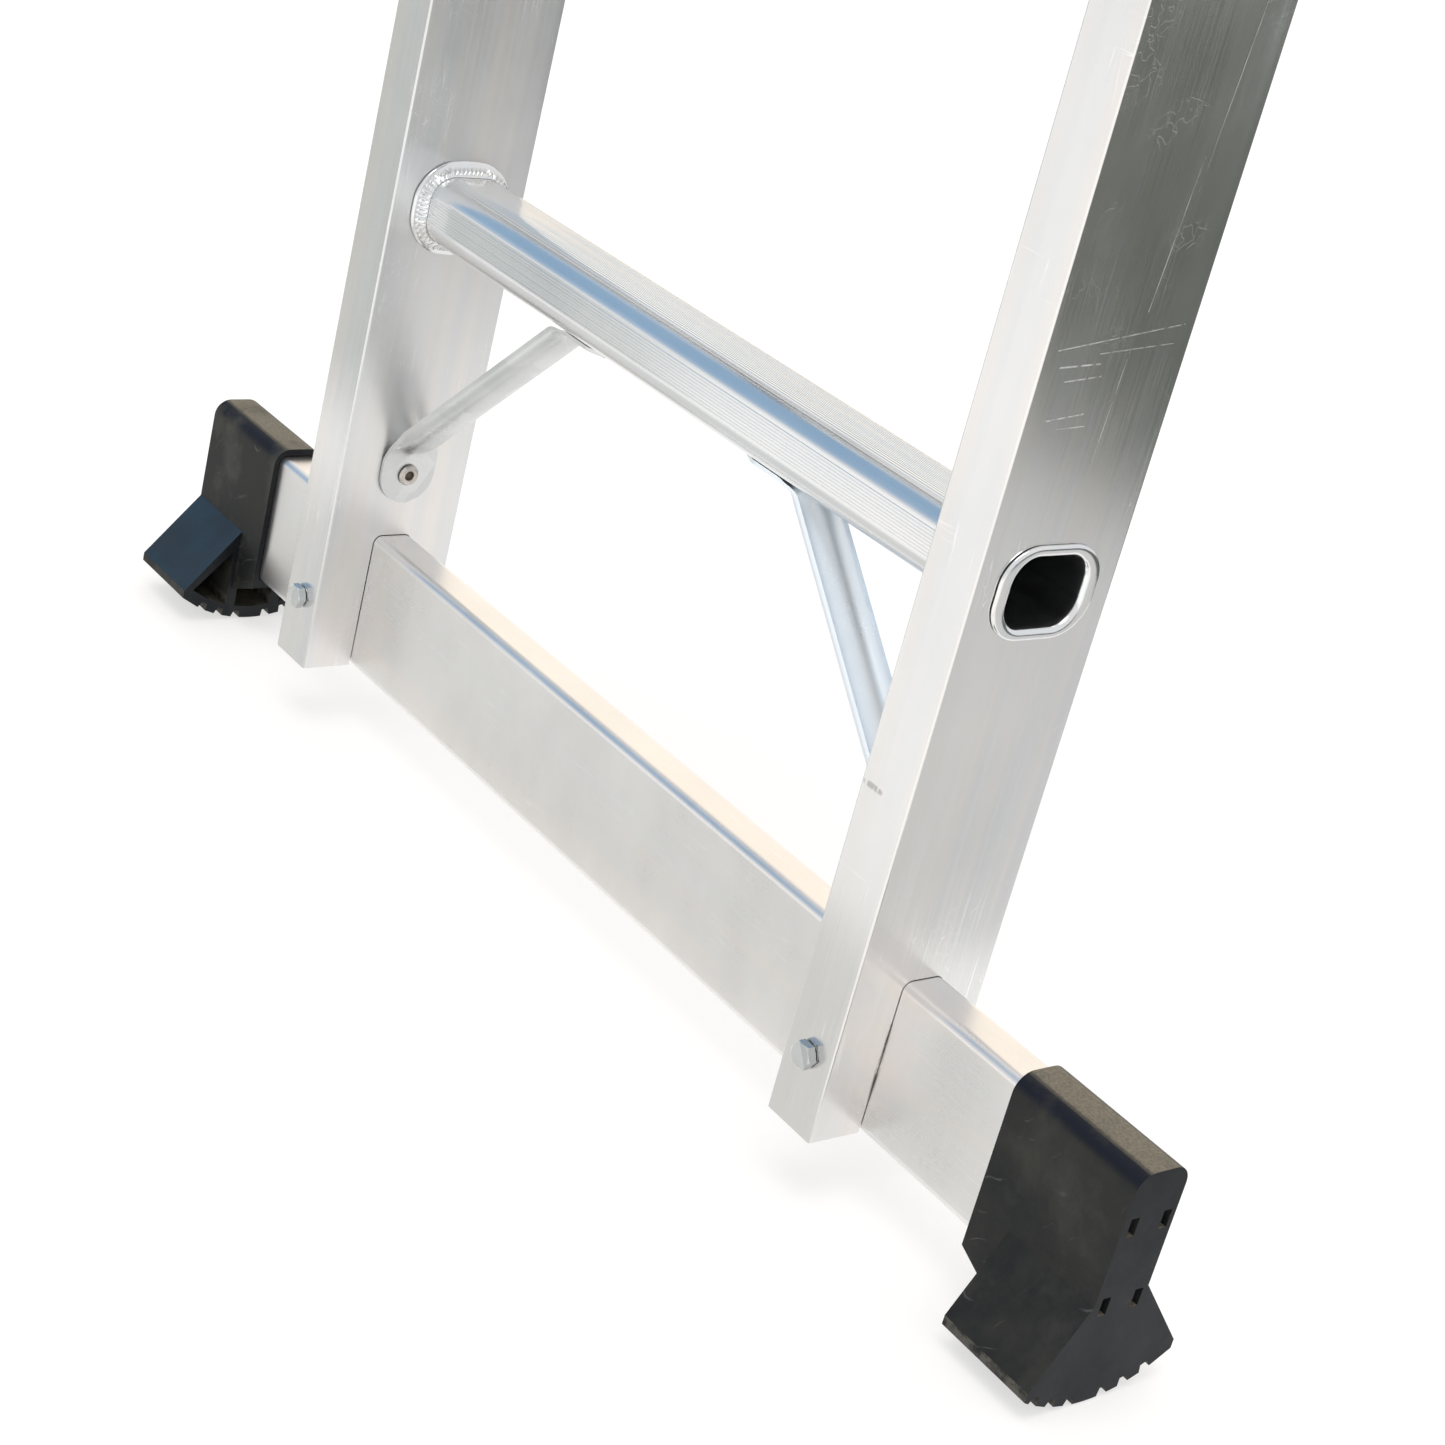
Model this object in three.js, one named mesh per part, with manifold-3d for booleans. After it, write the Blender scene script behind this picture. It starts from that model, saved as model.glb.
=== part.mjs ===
// A two-section push-up extension ladder in aluminium, modelled closed.
// Millimetres, +Z up along the stiles, +X along the rungs. The climber stands on the -Y side.
// The origin is on the ground, half way between the two feet and at the middle of a base stile's depth.

import * as THREE from 'three';
import { mergeVertices } from 'three/addons/utils/BufferGeometryUtils.js';
import Module from 'manifold-3d';

const wasm = await Module();
wasm.setup();

// ---------------------------------------------------------------- driving dimensions

const GAP = 0.3; // left between pieces that touch

// stiles: rectangular box section
const STILE = { thick: 26, depth: 68, wall: 2, corner: 1.2 };

// base section
const BASE_HALF = 210; // middle of the ladder to the outer face of a stile
const BASE_BOTTOM = 29; // the stiles end this far above the ground
const BASE_TOP = 2059;

// rungs: D-cornered tubes, swaged over both faces of each stile
const RUNG = { depth: 39, height: 31, corner: 12, wall: 2, y: 0.6 };
const RUNG_PITCH = 280;
const RUNG_COUNT = 7;
const FIRST_RUNG_Z = 255;
const LIP = { growY: 4.6, growZ: 2.7, thick: 1.2 }; // flared lip on a stile's outer face
const COLLAR = { growY: 4.8, growZ: 4.8, thick: 3.5 }; // upset bead on a stile's inner face
const CORNER_STEPS = 2;

// fly section: narrower, in front of the base section, its first rung level with base rung 2
const FLY_HALF = 175;
const FLY_CLEARANCE = 4;
const FLY_Y = -STILE.depth - FLY_CLEARANCE;
const FLY_FIRST_RUNG_Z = FIRST_RUNG_Z + RUNG_PITCH;
const FLY_BOTTOM = FLY_FIRST_RUNG_Z - 51;
const FLY_TOP = FLY_FIRST_RUNG_Z + (RUNG_COUNT - 1) * RUNG_PITCH + 110;

// stabiliser bar across the feet
const BAR = { half: 335.5, depth: 20, height: 67, corner: 4, wall: 2, y: 1 };
const BAR_TOP = BASE_BOTTOM + BAR.height;
const BAR_BOLT = { x: 197, z: 60.7 };

// moulded feet: a sleeve over the bar's end and a fan-shaped toothed sole, its angles from straight down
const SLEEVE = { inner: 276, outer: 339.5, wall: 2.9, roof: 3.7, corner: 8, end: 3.7 };
const SOLE = { y: 1.1, z: 67, radius: 67, rim: 6, toothDepth: 3.5, notchHalf: 2.1, notchRoot: 1.4 };
const FAN = { inner: 294.3, front: -29, back: 36, lip: 4, plate: 3.5, frontKink: 19.5, backKink: 22.5 };
const SKIRT = { run: 34, bottom: 9 }; // the oblique lower edge of the sleeve's side walls
const NOTCH_ANGLES = [-24.9, -16, -7.3, 7.3, 16, 24.9];
const END_HOLE = { dy: 8.1, y: 1.5, wide: 4, high: 7.6, z: [43.6, 77.4] };

// braces from the base stiles to the first rung
const BRACE = { sheet: 2, width: 22, y: 0.7, tabBottom: 113.5, bend: 139, reach: 80, end: 50 };
const BRACE_RIVET = { stileZ: 127.5, rungX: 62 };

// fasteners
const BOLT = { radius: 3, flats: 10, head: 4, nut: 5, clearance: 0.3 };
const RIVET = { radius: 2.4, head: 5, headThick: 1.8, tail: 3.2 };

// guide brackets, bent from steel strip
const UPPER_GUIDE = { bottom: 1965, top: 2025, sheet: 3, slack: 2.5, lipEnd: 155, flangeEnd: 208 };
const LOWER_GUIDE = { bottom: 592, top: 660, sheet: 2.5, slack: 2.5, lipEnd: 196, plateFront: -98 };
const HOOK_BOLT_Z = [612, 645];

// rung hooks and their gravity latches
const HOOK_THICK = 5;
const LATCH = { thick: 4, y: -29, z: 570, boss: 9 };
const PIN = { radius: 3.5, head: 7, headThick: 2.4, clearance: 0.3, sides: 24 };

// plastic end caps
const CAP = { head: 4, plug: 18, wall: 2.2 };

// ---------------------------------------------------------------- materials

const finish = (color, metalness, roughness) =>
  new THREE.MeshStandardMaterial({ color, metalness, roughness });

const millAluminium = finish(0xc9c7c2, 0.9, 0.38);
const rungAluminium = finish(0xd2d0cb, 0.9, 0.34);
const zincSteel = finish(0xb9bfc4, 0.9, 0.42);
const castAluminium = finish(0x9da1a4, 0.8, 0.55);
const rivetSteel = finish(0xa79c92, 0.85, 0.4);
const footRubber = finish(0x34363a, 0.0, 0.62);
const capPlastic = finish(0x1d1e20, 0.0, 0.5);

// ---------------------------------------------------------------- shape helpers

const alongX = new THREE.Matrix4().makeBasis(
  new THREE.Vector3(0, 1, 0), new THREE.Vector3(0, 0, 1), new THREE.Vector3(1, 0, 0));
const alongY = new THREE.Matrix4().makeBasis(
  new THREE.Vector3(1, 0, 0), new THREE.Vector3(0, 0, 1), new THREE.Vector3(0, -1, 0));

function toSolid(geometry) {
  const bare = geometry.clone();
  for (const name of ['normal', 'uv']) bare.deleteAttribute(name);
  const merged = mergeVertices(bare, 1e-4);
  return new wasm.Manifold(new wasm.Mesh({
    numProp: 3,
    vertProperties: new Float32Array(merged.attributes.position.array),
    triVerts: new Uint32Array(merged.index.array),
  }));
}

function toGeometry(solid) {
  const mesh = solid.getMesh();
  const geometry = new THREE.BufferGeometry();
  geometry.setAttribute('position', new THREE.BufferAttribute(mesh.vertProperties, 3));
  geometry.setIndex(new THREE.BufferAttribute(mesh.triVerts, 1));
  geometry.computeVertexNormals();
  return geometry;
}

function mirrored(geometry) {
  const copy = geometry.clone();
  copy.scale(-1, 1, 1);
  if (!copy.index) copy.setIndex([...Array(copy.attributes.position.count).keys()]);
  const index = copy.index.array;
  for (let i = 0; i < index.length; i += 3) {
    [index[i + 1], index[i + 2]] = [index[i + 2], index[i + 1]];
  }
  copy.computeVertexNormals();
  return copy;
}

// the same piece turned half round about the upright line through the stabiliser bar's middle
function halfTurned(geometry) {
  const copy = geometry.clone();
  copy.rotateZ(Math.PI);
  copy.translate(0, 2 * BAR.y, 0);
  return copy;
}

function outline(points) {
  return new THREE.Shape(points.map(([u, v]) => new THREE.Vector2(u, v)));
}

// points of a rounded rectangle centred on (cu, cv), counter-clockwise
function roundedPoints(wide, high, radius, cu = 0, cv = 0, steps = CORNER_STEPS) {
  const points = [];
  for (let corner = 0; corner < 4; corner += 1) {
    const su = corner === 0 || corner === 3 ? 1 : -1;
    const sv = corner < 2 ? 1 : -1;
    for (let i = 0; i <= steps; i += 1) {
      const angle = (Math.PI / 2) * (corner + i / steps);
      points.push([
        cu + su * (wide / 2 - radius) + radius * Math.cos(angle),
        cv + sv * (high / 2 - radius) + radius * Math.sin(angle),
      ]);
    }
  }
  return points;
}

function extrude(points, low, high, turn) {
  const geometry = new THREE.ExtrudeGeometry(outline(points), { depth: high - low, bevelEnabled: false });
  geometry.translate(0, 0, low);
  if (turn) geometry.applyMatrix4(turn);
  return geometry;
}

// a profile in (y, z) carried from one x to another
const extrudeX = (points, low, high) => extrude(points, low, high, alongX);
// a profile in (x, z) carried from one y to another
const extrudeY = (points, low, high) => extrude(points, -high, -low, alongY);
// a profile in (x, y) carried from one z to another
const extrudeZ = (points, low, high) => extrude(points, low, high);

function box(x0, x1, y0, y1, z0, z1) {
  const geometry = new THREE.BoxGeometry(x1 - x0, y1 - y0, z1 - z0);
  geometry.translate((x0 + x1) / 2, (y0 + y1) / 2, (z0 + z1) / 2);
  return geometry;
}

function cut(body, tools) {
  let solid = toSolid(body);
  for (const tool of tools) solid = solid.subtract(toSolid(tool));
  return toGeometry(solid);
}

function join(pieces) {
  let solid = toSolid(pieces[0]);
  for (const piece of pieces.slice(1)) solid = solid.add(toSolid(piece));
  return toGeometry(solid);
}

// a piece turned about x, y or z: profile is [radius, position] pairs, starting and ending on the axis
function turned(profile, axis, [x, y, z], sides = 12) {
  const geometry = new THREE.LatheGeometry(profile.map(([r, h]) => new THREE.Vector2(r, h)), sides);
  if (axis === 'x') geometry.rotateZ(-Math.PI / 2);
  if (axis === 'z') geometry.rotateX(Math.PI / 2);
  geometry.translate(x, y, z);
  return geometry;
}

const rod = (radius, low, high) => [[0, low], [radius, low], [radius, high], [0, high]];

// ---------------------------------------------------------------- the pieces

const rungOutline = (growY, growZ, z, y) => roundedPoints(
  RUNG.depth + 2 * growY, RUNG.height + 2 * growZ, RUNG.corner + (growY + growZ) / 2, y, z);

// A rung: one ring of points for every [x, growth in y, growth in z], joined round into an open tube.
function rung(half, y, z) {
  const inner = half - STILE.thick - GAP;
  const face = half + GAP;
  const end = face + LIP.thick;
  const side = [
    [inner - COLLAR.thick, 0, 0], [inner - COLLAR.thick, COLLAR.growY, COLLAR.growZ],
    [inner, COLLAR.growY, COLLAR.growZ], [inner, 0, 0], [face, 0, 0],
    [face, LIP.growY, LIP.growZ], [end, LIP.growY, LIP.growZ], [end, -RUNG.wall, -RUNG.wall],
  ];
  const stations = [...side, ...side.map(([x, ...grow]) => [-x, ...grow]).reverse()];
  const rings = stations.map(([x, growY, growZ]) =>
    rungOutline(growY, growZ, z, y).map(([v, w]) => [x, v, w]));
  const count = rings[0].length;
  const index = [];
  for (let s = 0; s < rings.length; s += 1) {
    const next = (s + 1) % rings.length;
    for (let p = 0; p < count; p += 1) {
      const q = (p + 1) % count;
      index.push(s * count + p, s * count + q, next * count + q);
      index.push(s * count + p, next * count + q, next * count + p);
    }
  }
  const geometry = new THREE.BufferGeometry();
  geometry.setAttribute('position', new THREE.Float32BufferAttribute(rings.flat(2), 3));
  geometry.setIndex(index);
  geometry.computeVertexNormals();
  return geometry;
}

const rungHeights = (first) => Array.from({ length: RUNG_COUNT }, (_, i) => first + i * RUNG_PITCH);

// A right-hand stile: box section with a slot in both side walls for every rung.
function stile(half, yMiddle, bottom, top, firstRung, extraCuts) {
  const middle = half - STILE.thick / 2;
  const hollow = roundedPoints(
    STILE.thick - 2 * STILE.wall, STILE.depth - 2 * STILE.wall, STILE.corner / 2, middle, yMiddle, 1);
  const rungSlots = rungHeights(firstRung).map((z) =>
    extrudeX(rungOutline(GAP, GAP, z, yMiddle + RUNG.y), half - STILE.thick - 1, half + 1));
  return cut(
    extrudeZ(roundedPoints(STILE.thick, STILE.depth, STILE.corner, middle, yMiddle, 1), bottom, top),
    [extrudeZ(hollow, bottom - 1, top + 1), ...rungSlots, ...extraCuts]);
}

function baseStile() {
  const halfDepth = STILE.depth / 2;
  const slot = roundedPoints(
    BAR.depth + 2 * GAP, 2 * BAR.height + 2 * GAP, BAR.corner, BAR.y, BASE_BOTTOM);
  const boltHole = turned(rod(BOLT.radius + BOLT.clearance, -halfDepth - 1, halfDepth + 1), 'y',
    [BAR_BOLT.x, 0, BAR_BOLT.z]);
  const rivetHole = turned(rod(RIVET.radius + GAP, 0, 5), 'x',
    [BASE_HALF - STILE.thick - 1, BRACE.y, BRACE_RIVET.stileZ]);
  const guideHoles = guideRivetHeights().map((z) =>
    turned(rod(RIVET.radius + GAP, 0, 5), 'y', [BAR_BOLT.x, -halfDepth - 1, z]));
  return stile(BASE_HALF, 0, BASE_BOTTOM, BASE_TOP, FIRST_RUNG_Z, [
    extrudeX(slot, BASE_HALF - STILE.thick - 1, BASE_HALF + 1), boltHole, rivetHole, ...guideHoles]);
}

function flyStile() {
  const inside = FLY_HALF - STILE.thick;
  const boltHoles = HOOK_BOLT_Z.map((z) =>
    turned(rod(BOLT.radius + BOLT.clearance, 0, STILE.thick + 2), 'x', [inside - 1, FLY_Y, z]));
  return stile(FLY_HALF, FLY_Y, FLY_BOTTOM, FLY_TOP, FLY_FIRST_RUNG_Z, boltHoles);
}

// A plastic plug with a flat head, pushed into the open end of a stile. up is 1 at a top end, -1 at a bottom.
function endCap(half, yMiddle, end, up) {
  const middle = half - STILE.thick / 2;
  const inWide = STILE.thick - 2 * STILE.wall - 2 * GAP;
  const inDeep = STILE.depth - 2 * STILE.wall - 2 * GAP;
  const slab = (points, from, to) => extrudeZ(points, Math.min(from, to), Math.max(from, to));
  const head = slab(roundedPoints(STILE.thick, STILE.depth, 2.5, middle, yMiddle),
    end + up * GAP, end + up * (GAP + CAP.head));
  const plug = slab(roundedPoints(inWide, inDeep, 1, middle, yMiddle, 1),
    end - up * CAP.plug, end + up * (GAP + 1));
  const hollow = slab(
    roundedPoints(inWide - 2 * CAP.wall, inDeep - 2 * CAP.wall, 0.6, middle, yMiddle, 1),
    end - up * (CAP.plug + 1), end);
  return cut(join([head, plug]), [hollow]);
}

function stabiliserBar() {
  const centre = BASE_BOTTOM + BAR.height / 2;
  const hollow = roundedPoints(
    BAR.depth - 2 * BAR.wall, BAR.height - 2 * BAR.wall, BAR.corner - BAR.wall, BAR.y, centre);
  const boltHoles = [-1, 1].map((side) => turned(
    rod(BOLT.radius + BOLT.clearance, -BAR.depth, BAR.depth), 'y', [side * BAR_BOLT.x, 0, BAR_BOLT.z]));
  return cut(extrudeX(roundedPoints(BAR.depth, BAR.height, BAR.corner, BAR.y, centre), -BAR.half, BAR.half),
    [extrudeX(hollow, -BAR.half - 1, BAR.half + 1), ...boltHoles]);
}

// a point on the sole's arc, its angle measured from straight down towards +Y
function solePoint(radius, degrees) {
  const angle = THREE.MathUtils.degToRad(degrees);
  return [SOLE.y + radius * Math.sin(angle), SOLE.z - radius * Math.cos(angle)];
}

// the toothed outer edge of the sole, from the front of the fan to the back
function toothedArc() {
  const points = [solePoint(SOLE.radius, FAN.front)];
  for (const angle of NOTCH_ANGLES) {
    points.push(solePoint(SOLE.radius, angle - SOLE.notchHalf));
    points.push(solePoint(SOLE.radius - SOLE.toothDepth, angle - SOLE.notchRoot));
    points.push(solePoint(SOLE.radius - SOLE.toothDepth, angle + SOLE.notchRoot));
    points.push(solePoint(SOLE.radius, angle + SOLE.notchHalf));
    if (angle === NOTCH_ANGLES[2]) points.push(solePoint(SOLE.radius, 0));
  }
  points.push(solePoint(SOLE.radius, FAN.back));
  return points;
}

function foot() {
  const front = BAR.y - BAR.depth / 2 - SLEEVE.wall;
  const back = BAR.y + BAR.depth / 2 + SLEEVE.wall;
  const floor = BASE_BOTTOM - SLEEVE.roof;
  const roof = BAR_TOP + SLEEVE.roof;
  const innerRadius = SOLE.radius - SOLE.rim;

  const sleevePoints = [[front, floor], [back, floor],
    ...roundedPoints(back - front, 40, SLEEVE.corner, (front + back) / 2, roof - 20)
      .filter(([, z]) => z > roof - 20)];
  const sleeve = extrudeX(sleevePoints, SLEEVE.inner, SLEEVE.outer);

  const frontKink = [front, floor + FAN.frontKink];
  const backKink = [back, floor + FAN.backKink];
  const arc = toothedArc();
  const lips = [arc[0], arc[arc.length - 1]].map(([y, z]) => [y, z + FAN.lip]);
  const fan = extrudeX([frontKink, lips[0], ...arc, lips[1], backKink], FAN.inner, SLEEVE.outer);

  // the sleeve's side walls run on down to the sole, cut obliquely at their inner end
  const skirt = [[SLEEVE.inner, floor], [SLEEVE.inner + SKIRT.run, SKIRT.bottom],
    [SLEEVE.outer, SKIRT.bottom], [SLEEVE.outer, floor + 1], [SLEEVE.inner, floor + 1]];
  const webs = [[front, front + SLEEVE.wall], [back - SLEEVE.wall, back]]
    .map(([low, high]) => extrudeY(skirt, low, high));

  const cavity = extrudeX(
    roundedPoints(BAR.depth + 2 * GAP, BAR.height + 2 * GAP, BAR.corner, BAR.y,
      BASE_BOTTOM + BAR.height / 2), SLEEVE.inner - 1, SLEEVE.outer - SLEEVE.end);

  const tunnelFront = [[front - 2.3, floor + 9], solePoint(innerRadius, -27.5),
    solePoint(innerRadius, -21), solePoint(innerRadius, -14.4)];
  const tunnelBack = [[back + 2.3, floor + 12], solePoint(innerRadius, 14.4),
    solePoint(innerRadius, 24), solePoint(innerRadius, 34.5)];
  const tunnelMiddle = [[front + SLEEVE.wall, floor - 3], solePoint(innerRadius, -9.3),
    solePoint(innerRadius, 0), solePoint(innerRadius, 9.3), [back - SLEEVE.wall, floor - 3]];
  const tunnels = [tunnelFront, tunnelBack, tunnelMiddle].map((points) =>
    extrudeX(points, FAN.inner - 25, SLEEVE.outer - FAN.plate));

  const endHoles = END_HOLE.z.flatMap((z) => [-1, 1].map((side) => {
    const y = END_HOLE.y + side * END_HOLE.dy;
    return box(SLEEVE.outer - SLEEVE.end - 1, SLEEVE.outer + 1, y - END_HOLE.wide / 2,
      y + END_HOLE.wide / 2, z - END_HOLE.high / 2, z + END_HOLE.high / 2);
  }));
  return cut(join([sleeve, fan, ...webs]), [cavity, ...tunnels, ...endHoles]);
}

// A strip of sheet bent along a line of (x, z) points, with mitred bends.
function bentStrip(line, sheet, yLow, yHigh) {
  const edge = (side) => line.map((point, i) => {
    const before = line[Math.max(i - 1, 0)];
    const after = line[Math.min(i + 1, line.length - 1)];
    const inward = new THREE.Vector2(point[0] - before[0], point[1] - before[1]).normalize();
    const outward = new THREE.Vector2(after[0] - point[0], after[1] - point[1]).normalize();
    if (i === 0) inward.copy(outward);
    if (i === line.length - 1) outward.copy(inward);
    const normal = new THREE.Vector2(-inward.y - outward.y, inward.x + outward.x).normalize();
    const reach = (side * sheet) / 2 / normal.dot(new THREE.Vector2(-outward.y, outward.x));
    return [point[0] + normal.x * reach, point[1] + normal.y * reach];
  });
  return extrudeY([...edge(-1), ...edge(1).reverse()], yLow, yHigh);
}

const braceStileX = BASE_HALF - STILE.thick - GAP - BRACE.sheet / 2;
const braceRungZ = FIRST_RUNG_Z - RUNG.height / 2 - GAP - BRACE.sheet / 2;

function brace() {
  const strip = bentStrip([[braceStileX, BRACE.tabBottom], [braceStileX, BRACE.bend],
    [BRACE.reach, braceRungZ], [BRACE.end, braceRungZ]], BRACE.sheet,
  BRACE.y - BRACE.width / 2, BRACE.y + BRACE.width / 2);
  const hole = rod(RIVET.radius + GAP, -5, 5);
  return cut(strip, [
    turned(hole, 'x', [braceStileX, BRACE.y, BRACE_RIVET.stileZ]),
    turned(hole, 'z', [BRACE_RIVET.rungX, BRACE.y, braceRungZ])]);
}

// A rivet whose head sits at 0 and whose shank runs the other way for the given grip.
function rivet(grip, axis, place) {
  const { radius, head, headThick, tail } = RIVET;
  return turned([[0, -headThick], [head * 0.6, -headThick], [head, -headThick * 0.35], [head, 0],
    [radius, 0], [radius, grip + tail], [0, grip + tail]], axis, place, 10);
}

const guideRivetHeights = () => [UPPER_GUIDE.bottom + 15, UPPER_GUIDE.top - 15];

// A hexagonal prism along x or y.
function hexagon(axis, low, high, [x, y, z]) {
  const radius = BOLT.flats / Math.sqrt(3);
  const geometry = new THREE.CylinderGeometry(radius, radius, high - low, 6);
  geometry.translate(0, (low + high) / 2, 0);
  if (axis === 'x') geometry.rotateZ(-Math.PI / 2);
  geometry.translate(x, y, z);
  return geometry;
}

function upperGuide() {
  const { bottom, top, sheet, slack, lipEnd, flangeEnd } = UPPER_GUIDE;
  const web = FLY_HALF + slack;
  const back = -STILE.depth / 2 - GAP;
  const front = FLY_Y - STILE.depth / 2 - slack;
  const strip = extrudeZ([[flangeEnd, back], [web, back], [web, front], [lipEnd, front],
    [lipEnd, front - sheet], [web + sheet, front - sheet], [web + sheet, back - sheet],
    [flangeEnd, back - sheet]], bottom, top);
  return cut(strip, guideRivetHeights().map((z) =>
    turned(rod(RIVET.radius + GAP, -5, 5), 'y', [BAR_BOLT.x, back, z])));
}

function lowerGuide() {
  const { bottom, top, sheet, slack, lipEnd, plateFront } = LOWER_GUIDE;
  const plate = FLY_HALF + GAP;
  const outside = BASE_HALF + slack;
  const rear = STILE.depth / 2 + slack;
  const gapBack = -STILE.depth / 2 - 1;
  const strip = extrudeZ([[plate, plateFront], [plate + sheet, plateFront],
    [plate + sheet, gapBack - sheet], [outside + sheet, gapBack - sheet],
    [outside + sheet, rear + sheet], [lipEnd, rear + sheet], [lipEnd, rear], [outside, rear],
    [outside, gapBack], [plate, gapBack]], bottom, top);
  return cut(strip, HOOK_BOLT_Z.map((z) =>
    turned(rod(BOLT.radius + BOLT.clearance, -5, 5), 'x', [plate, FLY_Y, z])));
}

const hookX = FLY_HALF - STILE.thick - GAP;

// a hole for the latch's pin, through a plate next to the given x
const pinHole = (x) => turned(rod(PIN.radius + PIN.clearance, -9, 9), 'x', [x, LATCH.y, LATCH.z], PIN.sides);

// The hook: a plate on the fly stile whose mouth sits down over a base rung.
function hook() {
  const rungTop = FLY_FIRST_RUNG_Z + RUNG.height / 2;
  const mouthTop = rungTop + 0.7;
  const mouthFront = RUNG.y - RUNG.depth / 2 - 2.5;
  const mouthBack = RUNG.y + RUNG.depth / 2 + 2.9;
  const tip = rungTop - 29;
  const points = [
    [-95, 560], [-44, 560], [-38, 552], [-38, tip + 5], [-34, tip], [mouthFront - 3.5, tip],
    [mouthFront, tip + 5], [mouthFront, mouthTop - 7], [mouthFront + 7, mouthTop],
    [mouthBack - 7, mouthTop], [mouthBack, mouthTop - 7], [mouthBack, tip + 5],
    [mouthBack + 3, tip], [mouthBack + 8, tip], [mouthBack + 13, tip + 7],
    [mouthBack + 13, 566], [mouthBack + 5, 580], [-55, 660], [-85, 660], [-95, 650],
  ];
  const holes = [
    ...HOOK_BOLT_Z.map((z) => turned(rod(BOLT.radius + BOLT.clearance, -9, 9), 'x', [hookX, FLY_Y, z])),
    pinHole(hookX),
  ];
  return cut(extrudeX(points, hookX - HOOK_THICK, hookX), holes);
}

const latchX = hookX - HOOK_THICK - GAP;

// The gravity latch: its lever rests on the fly's first rung, and its nose closes the hook's mouth.
function latch() {
  const { thick, y, z, boss } = LATCH;
  const leverBottom = FLY_FIRST_RUNG_Z + RUNG.height / 2 + 0.5;
  const noseTop = FLY_FIRST_RUNG_Z - RUNG.height / 2 - 3;
  const half = 5;
  const lever = [[y, leverBottom], [y, leverBottom + 17], [y - 52, leverBottom + 17],
    [y - 60, leverBottom + 12], [y - 60, leverBottom]];
  const tail = [[y - half, z], [y - half, noseTop - 11], [y + 18, noseTop - 11], [y + 25, noseTop - 5],
    [y + 25, noseTop], [y + half, noseTop], [y + half, z]];
  const plates = [lever, tail].map((points) => extrudeX(points.reverse(), latchX - thick, latchX));
  const round = turned(rod(boss, -thick, 0), 'x', [latchX, y, z]);
  return cut(join([...plates, round]), [pinHole(latchX)]);
}

// The shouldered pin that the latch turns on, headed at both ends.
function latchPin() {
  const { radius, head, headThick } = PIN;
  const far = hookX + GAP;
  const near = latchX - LATCH.thick - GAP;
  return turned([[0, near - headThick], [head, near - headThick], [head, near], [radius, near],
    [radius, far], [head, far], [head, far + headThick], [0, far + headThick]], 'x',
  [0, LATCH.y, LATCH.z], PIN.sides);
}

// ---------------------------------------------------------------- assembly

const ladder = new THREE.Group();
ladder.name = 'extension_ladder';

function add(name, geometry, material) {
  const mesh = new THREE.Mesh(geometry, material.clone());
  mesh.name = name;
  ladder.add(mesh);
}

// the right-hand piece at +X and its mirror image at -X
function addPair(name, geometry, material) {
  add(`right_${name}`, geometry, material);
  add(`left_${name}`, mirrored(geometry), material);
}

// base section
addPair('base_stile', baseStile(), millAluminium);
rungHeights(FIRST_RUNG_Z).forEach((z, i) => {
  const plain = rung(BASE_HALF, RUNG.y, z);
  const holes = [-1, 1].map((side) => turned(rod(RIVET.radius + GAP, -6, 6), 'z',
    [side * BRACE_RIVET.rungX, BRACE.y, z - RUNG.height / 2]));
  add(`base_rung_${i + 1}`, i === 0 ? cut(plain, holes) : plain, rungAluminium);
});
add('stabiliser_bar', stabiliserBar(), millAluminium);
add('right_foot', foot(), footRubber);
add('left_foot', halfTurned(foot()), footRubber);
addPair('base_top_cap', endCap(BASE_HALF, 0, BASE_TOP, 1), capPlastic);

const stileFront = -STILE.depth / 2 - GAP;
const stileBack = STILE.depth / 2 + GAP;
addPair('bar_bolt', join([
  hexagon('y', -BOLT.head, 0, [BAR_BOLT.x, stileFront, BAR_BOLT.z]),
  turned(rod(BOLT.radius, -1, STILE.depth + BOLT.nut + 3), 'y', [BAR_BOLT.x, stileFront, BAR_BOLT.z])]),
zincSteel);
addPair('bar_nut', cut(hexagon('y', 0, BOLT.nut, [BAR_BOLT.x, stileBack, BAR_BOLT.z]),
  [turned(rod(BOLT.radius + 0.05, -1, BOLT.nut + 1), 'y', [BAR_BOLT.x, stileBack, BAR_BOLT.z])]),
zincSteel);

addPair('brace', brace(), zincSteel);
addPair('brace_stile_rivet', rivet(BRACE.sheet + STILE.wall, 'x',
  [braceStileX - BRACE.sheet / 2 - GAP, BRACE.y, BRACE_RIVET.stileZ]), rivetSteel);
addPair('brace_rung_rivet', rivet(BRACE.sheet + RUNG.wall, 'z',
  [BRACE_RIVET.rungX, BRACE.y, braceRungZ - BRACE.sheet / 2 - GAP]), rivetSteel);

addPair('upper_guide', upperGuide(), zincSteel);
guideRivetHeights().forEach((z, i) => {
  addPair(`upper_guide_rivet_${i + 1}`, rivet(UPPER_GUIDE.sheet + STILE.wall, 'y',
    [BAR_BOLT.x, stileFront - UPPER_GUIDE.sheet - GAP, z]), rivetSteel);
});

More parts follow.
